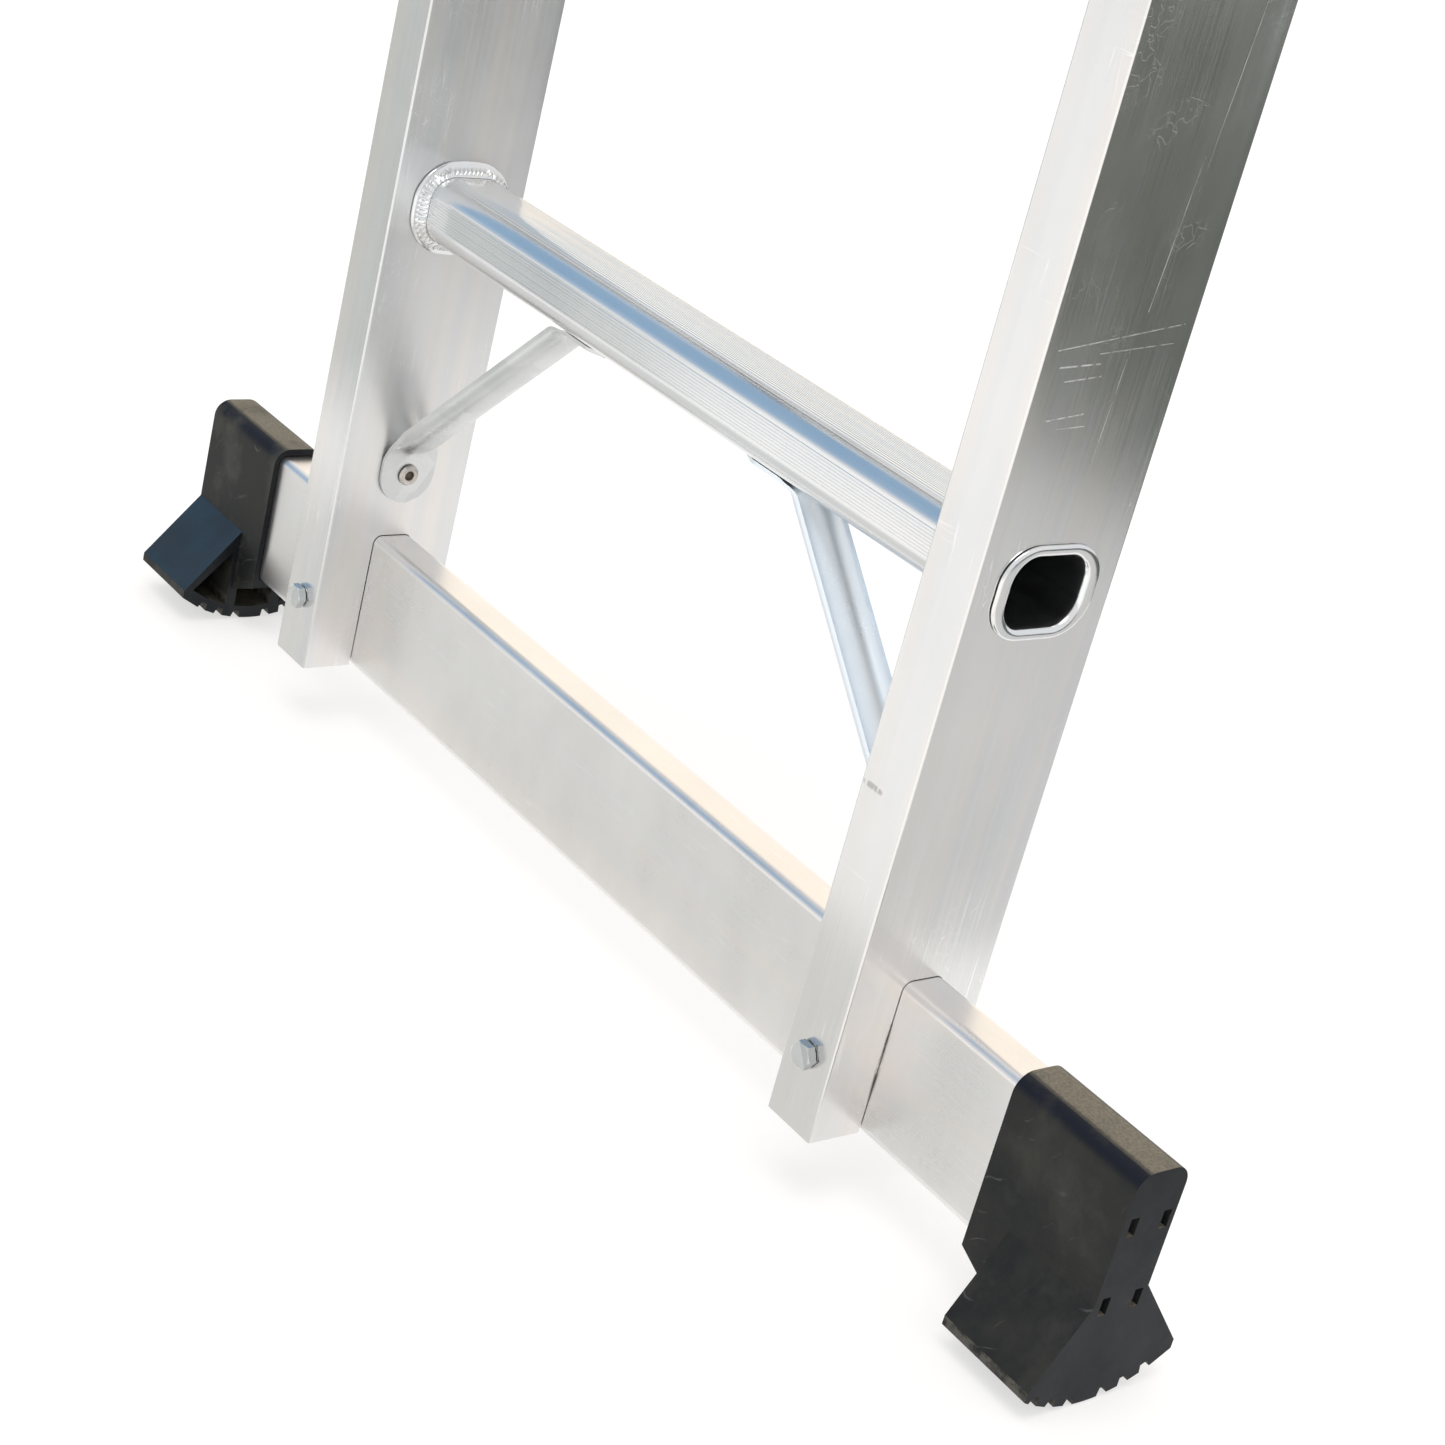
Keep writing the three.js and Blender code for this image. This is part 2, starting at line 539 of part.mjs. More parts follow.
// fly section
addPair('fly_stile', flyStile(), millAluminium);
rungHeights(FLY_FIRST_RUNG_Z).forEach((z, i) => {
  add(`fly_rung_${i + 1}`, rung(FLY_HALF, FLY_Y + RUNG.y, z), rungAluminium);
});
addPair('fly_bottom_cap', endCap(FLY_HALF, FLY_Y, FLY_BOTTOM, -1), capPlastic);
addPair('fly_top_cap', endCap(FLY_HALF, FLY_Y, FLY_TOP, 1), capPlastic);
addPair('lower_guide', lowerGuide(), zincSteel);
addPair('hook', hook(), castAluminium);

const boltFace = FLY_HALF + LOWER_GUIDE.sheet + 2 * GAP;
const nutFace = hookX - HOOK_THICK - GAP;
HOOK_BOLT_Z.forEach((z, i) => {
  addPair(`hook_bolt_${i + 1}`, join([
    hexagon('x', 0, BOLT.head, [boltFace, FLY_Y, z]),
    turned(rod(BOLT.radius, nutFace - BOLT.nut - 2 - boltFace, 1), 'x', [boltFace, FLY_Y, z])]), zincSteel);
  addPair(`hook_nut_${i + 1}`, cut(hexagon('x', -BOLT.nut, 0, [nutFace, FLY_Y, z]),
    [turned(rod(BOLT.radius + 0.05, -BOLT.nut - 1, 1), 'x', [nutFace, FLY_Y, z])]), zincSteel);
});

addPair('latch', latch(), zincSteel);
addPair('latch_pin', latchPin(), zincSteel);

export default ladder;
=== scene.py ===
import math

import bmesh
import bpy
from mathutils import Matrix, Vector

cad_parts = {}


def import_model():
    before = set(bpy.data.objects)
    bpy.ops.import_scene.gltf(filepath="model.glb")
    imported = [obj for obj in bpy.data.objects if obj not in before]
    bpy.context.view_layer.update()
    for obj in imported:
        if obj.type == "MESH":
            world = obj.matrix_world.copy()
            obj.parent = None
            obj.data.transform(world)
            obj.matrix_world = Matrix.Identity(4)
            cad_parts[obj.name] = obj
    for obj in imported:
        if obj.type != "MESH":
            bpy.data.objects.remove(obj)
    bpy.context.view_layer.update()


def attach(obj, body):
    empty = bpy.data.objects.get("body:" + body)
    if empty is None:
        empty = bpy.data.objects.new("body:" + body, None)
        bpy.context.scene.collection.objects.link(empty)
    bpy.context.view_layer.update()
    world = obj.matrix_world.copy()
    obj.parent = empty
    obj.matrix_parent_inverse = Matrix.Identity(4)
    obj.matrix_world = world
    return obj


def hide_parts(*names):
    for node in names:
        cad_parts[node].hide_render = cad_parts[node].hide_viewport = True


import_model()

MM = 0.001

# ---------------------------------------------------------------- dimensions, millimetres

GAP = 0.3
STILE_THICK, STILE_DEPTH, STILE_WALL, STILE_CORNER = 26, 68, 2, 1.0
BASE_HALF, FLY_HALF, FLY_Y = 210, 175, -72
BASE_BOTTOM, BASE_TOP = 29, 2059
FLY_BOTTOM, FLY_TOP = 484, 2325
RUNG_DEPTH, RUNG_HEIGHT, RUNG_CORNER, RUNG_WALL, RUNG_Y = 39, 31, 12, 2, 0.6
FIRST_RUNG_Z, FLY_FIRST_RUNG_Z, PITCH, RUNGS = 255, 535, 280, 7
BAR_HALF, BAR_DEPTH, BAR_HEIGHT, BAR_CORNER, BAR_WALL, BAR_Y = 335.5, 20, 67, 4, 2, 1
BOLT_X, BOLT_Z = 197, 60.7
BOLT_RADIUS, BOLT_FLATS, BOLT_HEAD, NUT_HEIGHT = 2.95, 10, 4, 5
BOLT_HOLE, NUT_BORE, RIVET_HOLE, PIN_HOLE = 3.3, 3.1, 2.7, 3.8
BRACE_Y, BRACE_RIVET_Z, BRACE_RIVET_X = 0.7, 127.5, 62
UPPER_GUIDE_SHEET, LOWER_GUIDE_SHEET, HOOK_PLATE, LATCH_PLATE = 3, 2.5, 5, 4
HOOK_BOLT_Z = (612, 645)
GUIDE_RIVET_Z = (1980, 2010)
LATCH_Y, LATCH_Z = -29, 570


# ---------------------------------------------------------------- mesh helpers

def rounded(wide, high, radius, cu=0.0, cv=0.0, steps=6):
    """Points round a rounded rectangle centred on (cu, cv), counter-clockwise from its +u side's top."""
    points = []
    for corner in range(4):
        su = 1 if corner in (0, 3) else -1
        sv = 1 if corner < 2 else -1
        for i in range(steps + 1):
            a = math.pi / 2 * (corner + i / steps)
            points.append((cu + su * (wide / 2 - radius) + radius * math.cos(a),
                           cv + sv * (high / 2 - radius) + radius * math.sin(a)))
    return points


def fillet(points, radii, steps=5):
    """A polygon with its corners rounded. radii is one number or one for each corner."""
    out = []
    n = len(points)
    for i in range(n):
        r = radii[i] if isinstance(radii, (list, tuple)) else radii
        p = Vector(points[i])
        a = Vector(points[i - 1]) - p
        b = Vector(points[(i + 1) % n]) - p
        la, lb = a.length, b.length
        a.normalize()
        b.normalize()
        angle = a.angle(b)
        if r <= 0 or angle > math.pi - 0.02:
            out.append(tuple(p))
            continue
        cut = min(r / math.tan(angle / 2), la * 0.49, lb * 0.49)
        r = cut * math.tan(angle / 2)
        centre = p + (a + b).normalized() * (r / math.sin(angle / 2))
        start, end = p + a * cut - centre, p + b * cut - centre
        sweep = start.angle(end)
        turn = 1 if start.x * end.y - start.y * end.x > 0 else -1
        for k in range(steps + 1):
            t = turn * sweep * k / steps
            out.append((centre.x + start.x * math.cos(t) - start.y * math.sin(t),
                        centre.y + start.x * math.sin(t) + start.y * math.cos(t)))
    return out


def place(axis, u, v, h):
    """A profile point (u, v) at height h along the axis, as (x, y, z)."""
    return {"x": (h, u, v), "y": (u, h, v), "z": (u, v, h)}[axis]


def loft(rings, loop=False):
    """Faces that join rings of the same number of points, capped at both ends unless it is a loop."""
    verts = [p for ring in rings for p in ring]
    n, m = len(rings[0]), len(rings)
    faces = []
    for s in range(m if loop else m - 1):
        t = (s + 1) % m
        for i in range(n):
            j = (i + 1) % n
            faces.append((s * n + i, s * n + j, t * n + j, t * n + i))
    if not loop:
        faces.append(tuple(range(n))[::-1])
        faces.append(tuple(range((m - 1) * n, m * n)))
    return verts, faces


def prism(points, low, high, axis):
    """A profile drawn out along the axis from low to high."""
    return loft([[place(axis, u, v, h) for u, v in points] for h in (low, high)])


def lathe(profile, axis, at, sides=40, loop=False):
    """A piece turned about the axis through at. profile is (radius, height) pairs, in order along it."""
    turns = [2 * math.pi * i / sides for i in range(sides)]
    rings = [[tuple(Vector(place(axis, r * math.cos(a), r * math.sin(a), h)) + Vector(at)) for a in turns]
             for r, h in profile]
    return loft(rings, loop)


def rod(radius, low, high, axis, at, sides=32):
    return lathe([(radius, low), (radius, high)], axis, at, sides)


def hexagon(flats, low, high, axis, at, bore=0.0, both=False, washer=0.4):
    """A chamfered hexagon; its chamfer is at high, and at low too if both. bore makes it a nut."""
    sides = 60
    turns = [2 * math.pi * i / sides for i in range(sides)]
    inner = flats / 2 * 0.95
    edges = [flats / 2 / math.cos(a % (math.pi / 3) - math.pi / 6) for a in turns]
    drops = [(edge - inner) * math.tan(math.radians(30)) for edge in edges]
    up = 1 if high > low else -1

    def ring(radii, heights):
        return [tuple(Vector(place(axis, r * math.cos(a), r * math.sin(a), h)) + Vector(at))
                for a, r, h in zip(turns, radii, heights)]

    def circle(radius, height):
        return ring([radius] * sides, [height] * sides)

    rings = [circle(inner, low)]
    if both:
        rings.append(ring(edges, [low + up * drop for drop in drops]))
    else:
        rings += [circle(inner, low + up * washer), ring(edges, [low + up * washer] * sides)]
    rings += [ring(edges, [high - up * drop for drop in drops]), circle(inner, high)]
    if bore:
        lead = 0.5
        rings += [circle(bore + lead, high), circle(bore, high - up * lead),
                  circle(bore, low + up * lead), circle(bore + lead, low)]
    return loft(rings, loop=bool(bore))


def merge(*parts):
    """Several solids as one list of points and one of faces."""
    verts, faces = [], []
    for v, f in parts:
        k = len(verts)
        verts += v
        faces += [tuple(i + k for i in face) for face in f]
    return verts, faces


def raw_object(name, part):
    """An object in metres from a part in millimetres, with shared points merged and faces turned out."""
    mesh = bpy.data.meshes.new(name)
    mesh.from_pydata([tuple(c * MM for c in v) for v in part[0]], [], part[1])
    bm = bmesh.new()
    bm.from_mesh(mesh)
    bmesh.ops.remove_doubles(bm, verts=bm.verts, dist=1e-7)
    bmesh.ops.dissolve_degenerate(bm, edges=bm.edges, dist=1e-7)
    bmesh.ops.recalc_face_normals(bm, faces=bm.faces)
    bm.to_mesh(mesh)
    bm.free()
    obj = bpy.data.objects.new(name, mesh)
    bpy.context.scene.collection.objects.link(obj)
    return obj


def bake_modifiers(obj):
    depsgraph = bpy.context.evaluated_depsgraph_get()
    mesh = bpy.data.meshes.new_from_object(obj.evaluated_get(depsgraph))
    obj.modifiers.clear()
    old = obj.data
    obj.data = mesh
    bpy.data.meshes.remove(old)


def boolean(obj, part, operation):
    tool = raw_object("tool", part)
    mod = obj.modifiers.new("cut", "BOOLEAN")
    mod.object, mod.operation, mod.solver = tool, operation, "EXACT"
    bake_modifiers(obj)
    bpy.data.objects.remove(tool)


def shade(obj, degrees=32):
    """Smooth shading on curves, flat faces kept flat."""
    obj.data.shade_smooth()
    obj.data.set_sharp_from_angle(angle=math.radians(degrees))
    mod = obj.modifiers.new("normals", "WEIGHTED_NORMAL")
    mod.keep_sharp, mod.weight, mod.mode = True, 80, "FACE_AREA"
    bake_modifiers(obj)


def bevel(obj, width, segments=2, degrees=35):
    mod = obj.modifiers.new("bevel", "BEVEL")
    mod.width, mod.segments = width * MM, segments
    mod.limit_method, mod.angle_limit = "ANGLE", math.radians(degrees)
    mod.use_clamp_overlap = True
    mod.miter_outer = "MITER_ARC"
    bake_modifiers(obj)


def mirror_copy(obj, name):
    copy = bpy.data.objects.new(name, obj.data.copy())
    bpy.context.scene.collection.objects.link(copy)
    bm = bmesh.new()
    bm.from_mesh(copy.data)
    bmesh.ops.scale(bm, vec=(-1, 1, 1), verts=bm.verts)
    bmesh.ops.reverse_faces(bm, faces=bm.faces)
    bm.to_mesh(copy.data)
    bm.free()
    return copy


def turned_copy(obj, name):
    """The same piece turned half round about the upright line through the bar's middle."""
    copy = bpy.data.objects.new(name, obj.data.copy())
    bpy.context.scene.collection.objects.link(copy)
    copy.data.transform(Matrix.Translation((0, 2 * BAR_Y * MM, 0)) @ Matrix.Rotation(math.pi, 4, "Z"))
    return copy


def finish_piece(obj, body, material, node, degrees=32):
    shade(obj, degrees)
    obj.data.materials.clear()
    obj.data.materials.append(material)
    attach(obj, body)
    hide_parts(node)


def carved(name, part, adds=(), cuts=(), width=0.0, segments=2, holes=()):
    """A solid with its added parts, its cuts, its rounded edges, and the holes made after the rounding."""
    obj = raw_object(name, part)
    for extra in adds:
        boolean(obj, extra, "UNION")
    for tool in cuts:
        boolean(obj, tool, "DIFFERENCE")
    if width:
        bevel(obj, width, segments)
    for tool in holes:
        boolean(obj, tool, "DIFFERENCE")
    return obj


def pair(name, part, body, slot, material, left_body=None, copy=mirror_copy, degrees=32, **carving):
    """The right-hand piece and its copy on the left, a mirror image unless copy says otherwise."""
    right = carved(f"right_{name}_detail", part, **carving)
    left = copy(right, f"left_{name}_detail")
    finish_piece(right, body, material, f"right_{name}", degrees)
    finish_piece(left, left_body or body, material, f"left_{name}", degrees)


# ---------------------------------------------------------------- materials

def along_grain(grain_axis, along, across):
    """Noise scales that are low along the grain and high across it."""
    scales = [across, across, across]
    scales[grain_axis] = along
    return tuple(scales)


class Graph:
    """A material's node tree. Apart from add, set and bump, each call adds nodes and returns a socket."""

    def __init__(self, name):
        self.material = bpy.data.materials.new(name)
        self.material.use_nodes = True
        self.tree = self.material.node_tree
        self.shader = self.tree.nodes["Principled BSDF"]
        self.position = self.add("ShaderNodeTexCoord").outputs["Object"]
        geometry = self.add("ShaderNodeNewGeometry")
        self.normal, self.face_normal = geometry.outputs["Normal"], geometry.outputs["True Normal"]

    def add(self, kind, inputs=None, **settings):
        node = self.tree.nodes.new(kind)
        for key, value in settings.items():
            setattr(node, key, value)
        for key, value in (inputs or {}).items():
            if isinstance(value, bpy.types.NodeSocket):
                self.tree.links.new(value, node.inputs[key])
            else:
                node.inputs[key].default_value = value
        return node

    def math(self, operation, a, b=0.0, c=0.0):
        return self.add("ShaderNodeMath", {0: a, 1: b, 2: c}, operation=operation).outputs[0]

    def times(self, a, b):
        return self.math("MULTIPLY", a, b)

    def plus(self, a, b):
        return self.math("ADD", a, b)

    def vector(self, operation, a, b):
        return self.add("ShaderNodeVectorMath", {0: a, 1: b}, operation=operation).outputs[0]

    def dot(self, a, b):
        return self.add("ShaderNodeVectorMath", {0: a, 1: b}, operation="DOT_PRODUCT").outputs["Value"]

    def split(self, vector):
        """The x, y and z of a vector."""
        return self.add("ShaderNodeSeparateXYZ", {0: vector}).outputs

    def stretched(self, scale, turn=(0, 0, 0)):
        mapping = {"Vector": self.position, "Scale": scale, "Rotation": turn}
        return self.add("ShaderNodeMapping", mapping).outputs[0]

    def noise(self, scale, detail=3.0, rough=0.5, turn=(0, 0, 0)):
        return self.add("ShaderNodeTexNoise", {"Vector": self.stretched(scale, turn), "Scale": 1.0,
                                               "Detail": detail, "Roughness": rough}).outputs["Fac"]

    def remap(self, value, low, high, to_low=0.0, to_high=1.0):
        return self.add("ShaderNodeMapRange", {"Value": value, "From Min": low, "From Max": high,
                                               "To Min": to_low, "To Max": to_high}).outputs[0]

    def mix(self, factor, a, b, blend="MIX"):
        node = self.add("ShaderNodeMix", data_type="RGBA", blend_type=blend)
        for socket, value in ((0, factor), (6, a), (7, b)):
            if isinstance(value, bpy.types.NodeSocket):
                self.tree.links.new(value, node.inputs[socket])
            else:
                node.inputs[socket].default_value = value
        return node.outputs[2]

    def scratches(self, grain_axis, scale, turn, low, high):
        """Thin lines where a stretched noise passes through its middle, kept only in patches."""
        wave = self.noise(along_grain(grain_axis, scale * 0.025, scale), 1.0, turn=turn)
        line = self.math("LESS_THAN", self.math("ABSOLUTE", self.math("SUBTRACT", wave, 0.5)), 0.006)
        patch = self.remap(self.noise((31, 31, 31), 1.0), low, high)
        return self.times(line, patch)

    def set(self, **values):
        for key, value in values.items():
            socket = self.shader.inputs[key.replace("_", " ")]
            if isinstance(value, bpy.types.NodeSocket):
                self.tree.links.new(value, socket)
            else:
                socket.default_value = value

    def bump(self, height, distance, strength=1.0):
        node = self.add("ShaderNodeBump", {"Height": height, "Distance": distance, "Strength": strength})
        self.tree.links.new(node.outputs[0], self.shader.inputs["Normal"])


WARM_TINT, COOL_TINT = (1.0, 0.986, 0.975, 1), (0.968, 0.984, 1.0, 1)
FINE_SCRATCH, BARE_METAL = (0.93, 0.93, 0.92, 1), (1.0, 1.0, 0.97, 1)
OIL, SCUFF = (0.13, 0.11, 0.09, 1), (0.3, 0.28, 0.26, 1)
# painted bluish shade for the foot's end face, and a painted reflection of the blue sky for its rounded top
# corner
PAINTED_END_SHADE, PAINTED_CORNER_REFLECTION = (0.004, 0.006, 0.010, 1), (0.004, 0.006, 0.013, 1)
# a painted reflection of the blue sky for the left foot's front wing, then real smears and a worn lip
PAINTED_WING_REFLECTION, FOOT_SMEAR, WORN_LIP = (0.017, 0.039, 0.064, 1), (0.052, 0.052, 0.043, 1), (0.085, 0.078, 0.066, 1)
# a pale scuff colour, and a beige film colour for the feet's tops that is partly dust and partly a painted
# warm sheen
PALE_SCUFF, DUST_AND_SHEEN = (0.16, 0.16, 0.15, 1), (0.215, 0.185, 0.135, 1)


def aluminium(name, grain_axis, light, dark, rough_low, rough_high, cloud=14.0, marks=0.5, relief=0.5,
              brush=1.0):
    """Mill-finish extrusion: die lines along the grain, cloudy oxide, fine scratches."""
    g = Graph(name)
    grain = g.noise(along_grain(grain_axis, 5, 900), 4.0)
    bands = g.noise(along_grain(grain_axis, 1.6, 160), 2.0)
    clouds = g.noise((cloud, cloud, cloud * 0.6), 5.0, rough=0.6)
    veins = g.noise(along_grain(grain_axis, 2.5, 70), 3.0)
    scratch = g.math("MAXIMUM", g.scratches(grain_axis, 240, (0.35, 0.3, 0.2), 0.5, 0.62),
                     g.scratches((grain_axis + 1) % 3, 210, (0.5, -0.4, 0.6), 0.56, 0.66))
    mixed = g.plus(g.times(clouds, 1.0 - 0.45 * brush), g.times(bands, 0.3 * brush))
    mixed = g.plus(mixed, g.times(grain, 0.15 * brush))
    colour = g.mix(g.remap(mixed, 0.36, 0.64), dark, light)
    tint = g.mix(g.remap(veins, 0.4, 0.6), WARM_TINT, COOL_TINT)
    colour = g.mix(1.0, colour, tint, "MULTIPLY")
    colour = g.mix(g.times(scratch, marks), colour, FINE_SCRATCH)
    uneven = g.plus(g.times(clouds, 0.6), g.times(grain, 0.4))
    rough = g.remap(uneven, 0.35, 0.65, rough_low, rough_high)
    g.set(Base_Color=colour, Metallic=1.0, Roughness=rough)
    g.bump(g.plus(g.times(grain, 0.5), g.times(scratch, -0.6)), 0.00004, relief)
    return g


def patch(g, speckle, point, reach, threshold):
    """A speckled spot round a point, which fades out at its reach along each axis, in metres."""
    local = g.vector("DIVIDE", g.vector("SUBTRACT", g.position, point), reach)
    far = g.add("ShaderNodeVectorMath", {0: local}, operation="LENGTH").outputs["Value"]
    return g.times(g.remap(far, 0.5, 1.0, 1.0, 0.0), g.remap(speckle, threshold, threshold + 0.08))


def score(g, start, end, width):
    """A thin straight scratch on the right stile's outer face, between two (y, z) points in millimetres."""
    a, b = Vector((BASE_HALF, *start)) * MM, Vector((BASE_HALF, *end)) * MM
    along = (b - a).normalized()
    across = Vector((0, -along.z, along.y))
    local = g.vector("SUBTRACT", g.position, a)
    half = (b - a).length / 2
    inside = g.math("COMPARE", g.dot(local, along), half, half)
    thin = g.math("COMPARE", g.dot(local, across), 0.0, width * MM)
    skin = g.math("COMPARE", g.dot(local, (1, 0, 0)), 0.0, 0.5 * MM)
    return g.times(g.times(inside, thin), skin)


# the scores on the right stile, from above the first rung upwards: start (y, z), end (y, z), half width
SCORES = [((-28, 344), (29, 354), 0.2), ((-8, 343), (26, 347), 0.13), ((13, 412), (9, 358), 0.16),
          ((6, 345), (4, 300), 0.12), ((-25, 338), (-6, 339.5), 0.3), ((-21, 333), (-4, 335), 0.22),
          ((-24, 319), (-7, 321.5), 0.25), ((-18, 316), (-5, 317), 0.16), ((20, 470), (15, 400), 0.12)]


def stile_aluminium():
    """The extrusion with its handling marks: an oily smear by the bar's slot, a scuff, and the scores."""
    g = aluminium("stile_aluminium", 2, (0.85, 0.833, 0.817, 1), (0.745, 0.745, 0.738, 1), 0.16, 0.25,
                  marks=0.7, relief=0.35, brush=0.8)
    colour = g.shader.inputs["Base Color"].links[0].from_socket
    speckle = g.noise((420, 420, 90), 4.0)
    face_x = BASE_HALF * MM
    smear = g.math("MAXIMUM", patch(g, speckle, (face_x, -0.0092, 0.060), (0.003, 0.0013, 0.021), 0.46),
                   patch(g, speckle, (face_x, -0.0085, 0.079), (0.003, 0.002, 0.005), 0.48))
    colour = g.mix(g.times(smear, 0.85), colour, OIL)
    scuff = patch(g, speckle, (0.1905, -0.034, 0.1705), (0.0085, 0.002, 0.0016), 0.47)
    colour = g.mix(g.times(scuff, 0.6), colour, SCUFF)
    cut = score(g, *SCORES[0])
    for line in SCORES[1:]:
        cut = g.math("MAXIMUM", cut, score(g, *line))
    cut = g.times(cut, g.remap(speckle, 0.36, 0.6, 0.05, 0.55))
    colour = g.mix(cut, colour, BARE_METAL)
    inward = g.math("LESS_THAN", g.times(g.split(g.normal)[0], g.split(g.position)[0]), -0.05)
    rough = g.shader.inputs["Roughness"].links[0].from_socket
    rough = g.plus(g.plus(rough, g.times(inward, 0.15)), g.times(cut, 0.5))
    g.set(Base_Color=colour, Roughness=rough)
    return g.material


def plain_metal(name, light, dark, rough_low, rough_high, grain=700, spangle=60, depth=0.00005, painted_sky_reflection=None):
    """Plated or cast metal: crystalline patches and fine pitting. Its last, optional colour is a painted
    light-blue reflection of the sky on the right-hand piece.
    """
    g = Graph(name)
    cells = g.add("ShaderNodeTexVoronoi", {"Vector": g.stretched((spangle, spangle, spangle)), "Scale": 1.0})
    value = g.add("ShaderNodeSeparateColor", {0: cells.outputs["Color"]}).outputs[0]
    fine = g.noise((grain, grain, grain), 3.0)
    clouds = g.noise((40, 40, 40), 4.0)
    tone = g.remap(g.plus(g.times(value, 0.3), g.times(clouds, 0.7)), 0.3, 0.7)
    colour = g.mix(tone, dark, light)
    rough = g.remap(g.plus(g.times(fine, 0.5), g.times(clouds, 0.5)), 0.35, 0.65, rough_low, rough_high)
    # painted reflection: the right-hand copy (x > 0) gets the sky's light blue
    if painted_sky_reflection:
        colour = g.mix(g.math("GREATER_THAN", g.split(g.position)[0], 0.0), colour, painted_sky_reflection)
    g.set(Base_Color=colour, Metallic=1.0, Roughness=rough)
    g.bump(fine, depth, 0.6)
    return g.material


def foot_marks_and_painted_light(g, colour):
    """A foot's painted light and marks: painted bluish shade on the end face, painted reflections of the blue
    sky on the rounded top corner and the left foot's front wing, and real smears and a worn lip.
    """
    x, _, z = g.split(g.position)
    # painted shade: the end face is darkened to a dark blue
    end = g.remap(g.math("ABSOLUTE", g.split(g.face_normal)[0]), 0.9, 0.99)
    colour = g.mix(g.times(end, 0.8), colour, PAINTED_END_SHADE)
    # painted reflection of the blue sky on the rounded top-front corner
    tilt, face_tilt = [g.dot(normal, (0, -0.707, 0.707)) for normal in (g.normal, g.face_normal)]
    corner = g.times(g.remap(tilt, 0.84, 0.97), g.remap(z, 0.08, 0.085))
    colour = g.mix(corner, colour, PAINTED_CORNER_REFLECTION)
    # painted reflection of the blue sky on the left foot's front wing, in patches
    painted_wing_reflection = g.times(g.math("LESS_THAN", x, 0.0), g.remap(z, 0.055, 0.05))
    painted_wing_reflection = g.times(painted_wing_reflection, g.remap(face_tilt, 0.8, 0.88))
    patchy = g.remap(g.noise((55, 55, 55), 4.0), 0.3, 0.7, 0.6, 1.0)
    colour = g.mix(g.times(painted_wing_reflection, patchy), colour, PAINTED_WING_REFLECTION)
    cloudy = g.remap(g.noise((32, 32, 24), 5.0, rough=0.62), 0.5, 0.66)
    smears = g.times(cloudy, g.remap(x, 0.2, -0.2, 0.45, 0.9))
    smears = g.times(smears, g.remap(end, 0.0, 1.0, 1.0, 0.2))
    smears = g.times(smears, g.math("SUBTRACT", 1.0, painted_wing_reflection))
    colour = g.mix(smears, colour, FOOT_SMEAR)
    side = g.math("ABSOLUTE", g.split(g.face_normal)[1])
    lip = g.times(g.remap(side, 0.9, 0.98), g.remap(z, 0.0135, 0.0125))
    lip = g.times(lip, g.remap(g.noise((300, 300, 300), 4.0), 0.35, 0.6))
    return g.mix(lip, colour, WORN_LIP)


def moulded(name, dark, light, rough_low, rough_high, specular, dust_and_painted_light=0.0):
    """Moulded black plastic: fine grain, cloudy sheen and arc scuffs. Its last argument adds a pale film on
    top that is partly dust and partly a painted warm sheen, with the feet's painted shade, painted sky
    reflections and real marks.
    """
    g = Graph(name)
    fine = g.noise((1400, 1400, 1400), 2.0)
    clouds = g.noise((38, 38, 38), 4.0, rough=0.65)
    dust = g.noise((120, 120, 70), 3.0)
    arcs = g.add("ShaderNodeTexWave", {"Vector": g.stretched((30, 30, 30), (0.4, 0.7, 0.2)), "Scale": 1.0,
                                       "Distortion": 9.0, "Detail": 2.0, "Detail Scale": 1.2},
                 wave_type="RINGS").outputs["Fac"]
    mark = g.times(g.remap(arcs, 0.985, 1.0), g.remap(dust, 0.56, 0.7))
    colour = g.mix(g.remap(clouds, 0.35, 0.68), dark, light)
    colour = g.mix(g.times(mark, 0.35), colour, PALE_SCUFF)
    if dust_and_painted_light:
        # a pale film on upward faces: partly dust, partly a painted warm sheen
        dust_and_sheen = g.remap(g.noise((900, 900, 900), 4.0), 0.3, 0.65, 0.55, 1.0)
        dust_and_sheen = g.times(g.remap(g.split(g.face_normal)[2], 0.9, 0.995), dust_and_sheen)
        colour = g.mix(g.times(dust_and_sheen, dust_and_painted_light), colour, DUST_AND_SHEEN)
        colour = foot_marks_and_painted_light(g, colour)
    rough = g.remap(clouds, 0.3, 0.7, rough_low, rough_high)
    g.set(Base_Color=colour, Roughness=rough, Specular_IOR_Level=specular)
    g.bump(g.plus(fine, g.times(clouds, 0.8)), 0.00008, 0.5)
    return g.material


STILE = stile_aluminium()
BAR = aluminium("bar_aluminium", 0, (0.86, 0.838, 0.815, 1), (0.80, 0.778, 0.76, 1), 0.26, 0.34, cloud=22.0,
                marks=0.3, relief=0.05, brush=0.1).material
RUNG = aluminium("rung_aluminium", 0, (0.85, 0.85, 0.84, 1), (0.78, 0.785, 0.79, 1), 0.14, 0.22, marks=0.3,
                 relief=0.2).material
ZINC = plain_metal("bolt_zinc", (0.78, 0.79, 0.78, 1), (0.56, 0.58, 0.58, 1), 0.2, 0.34)
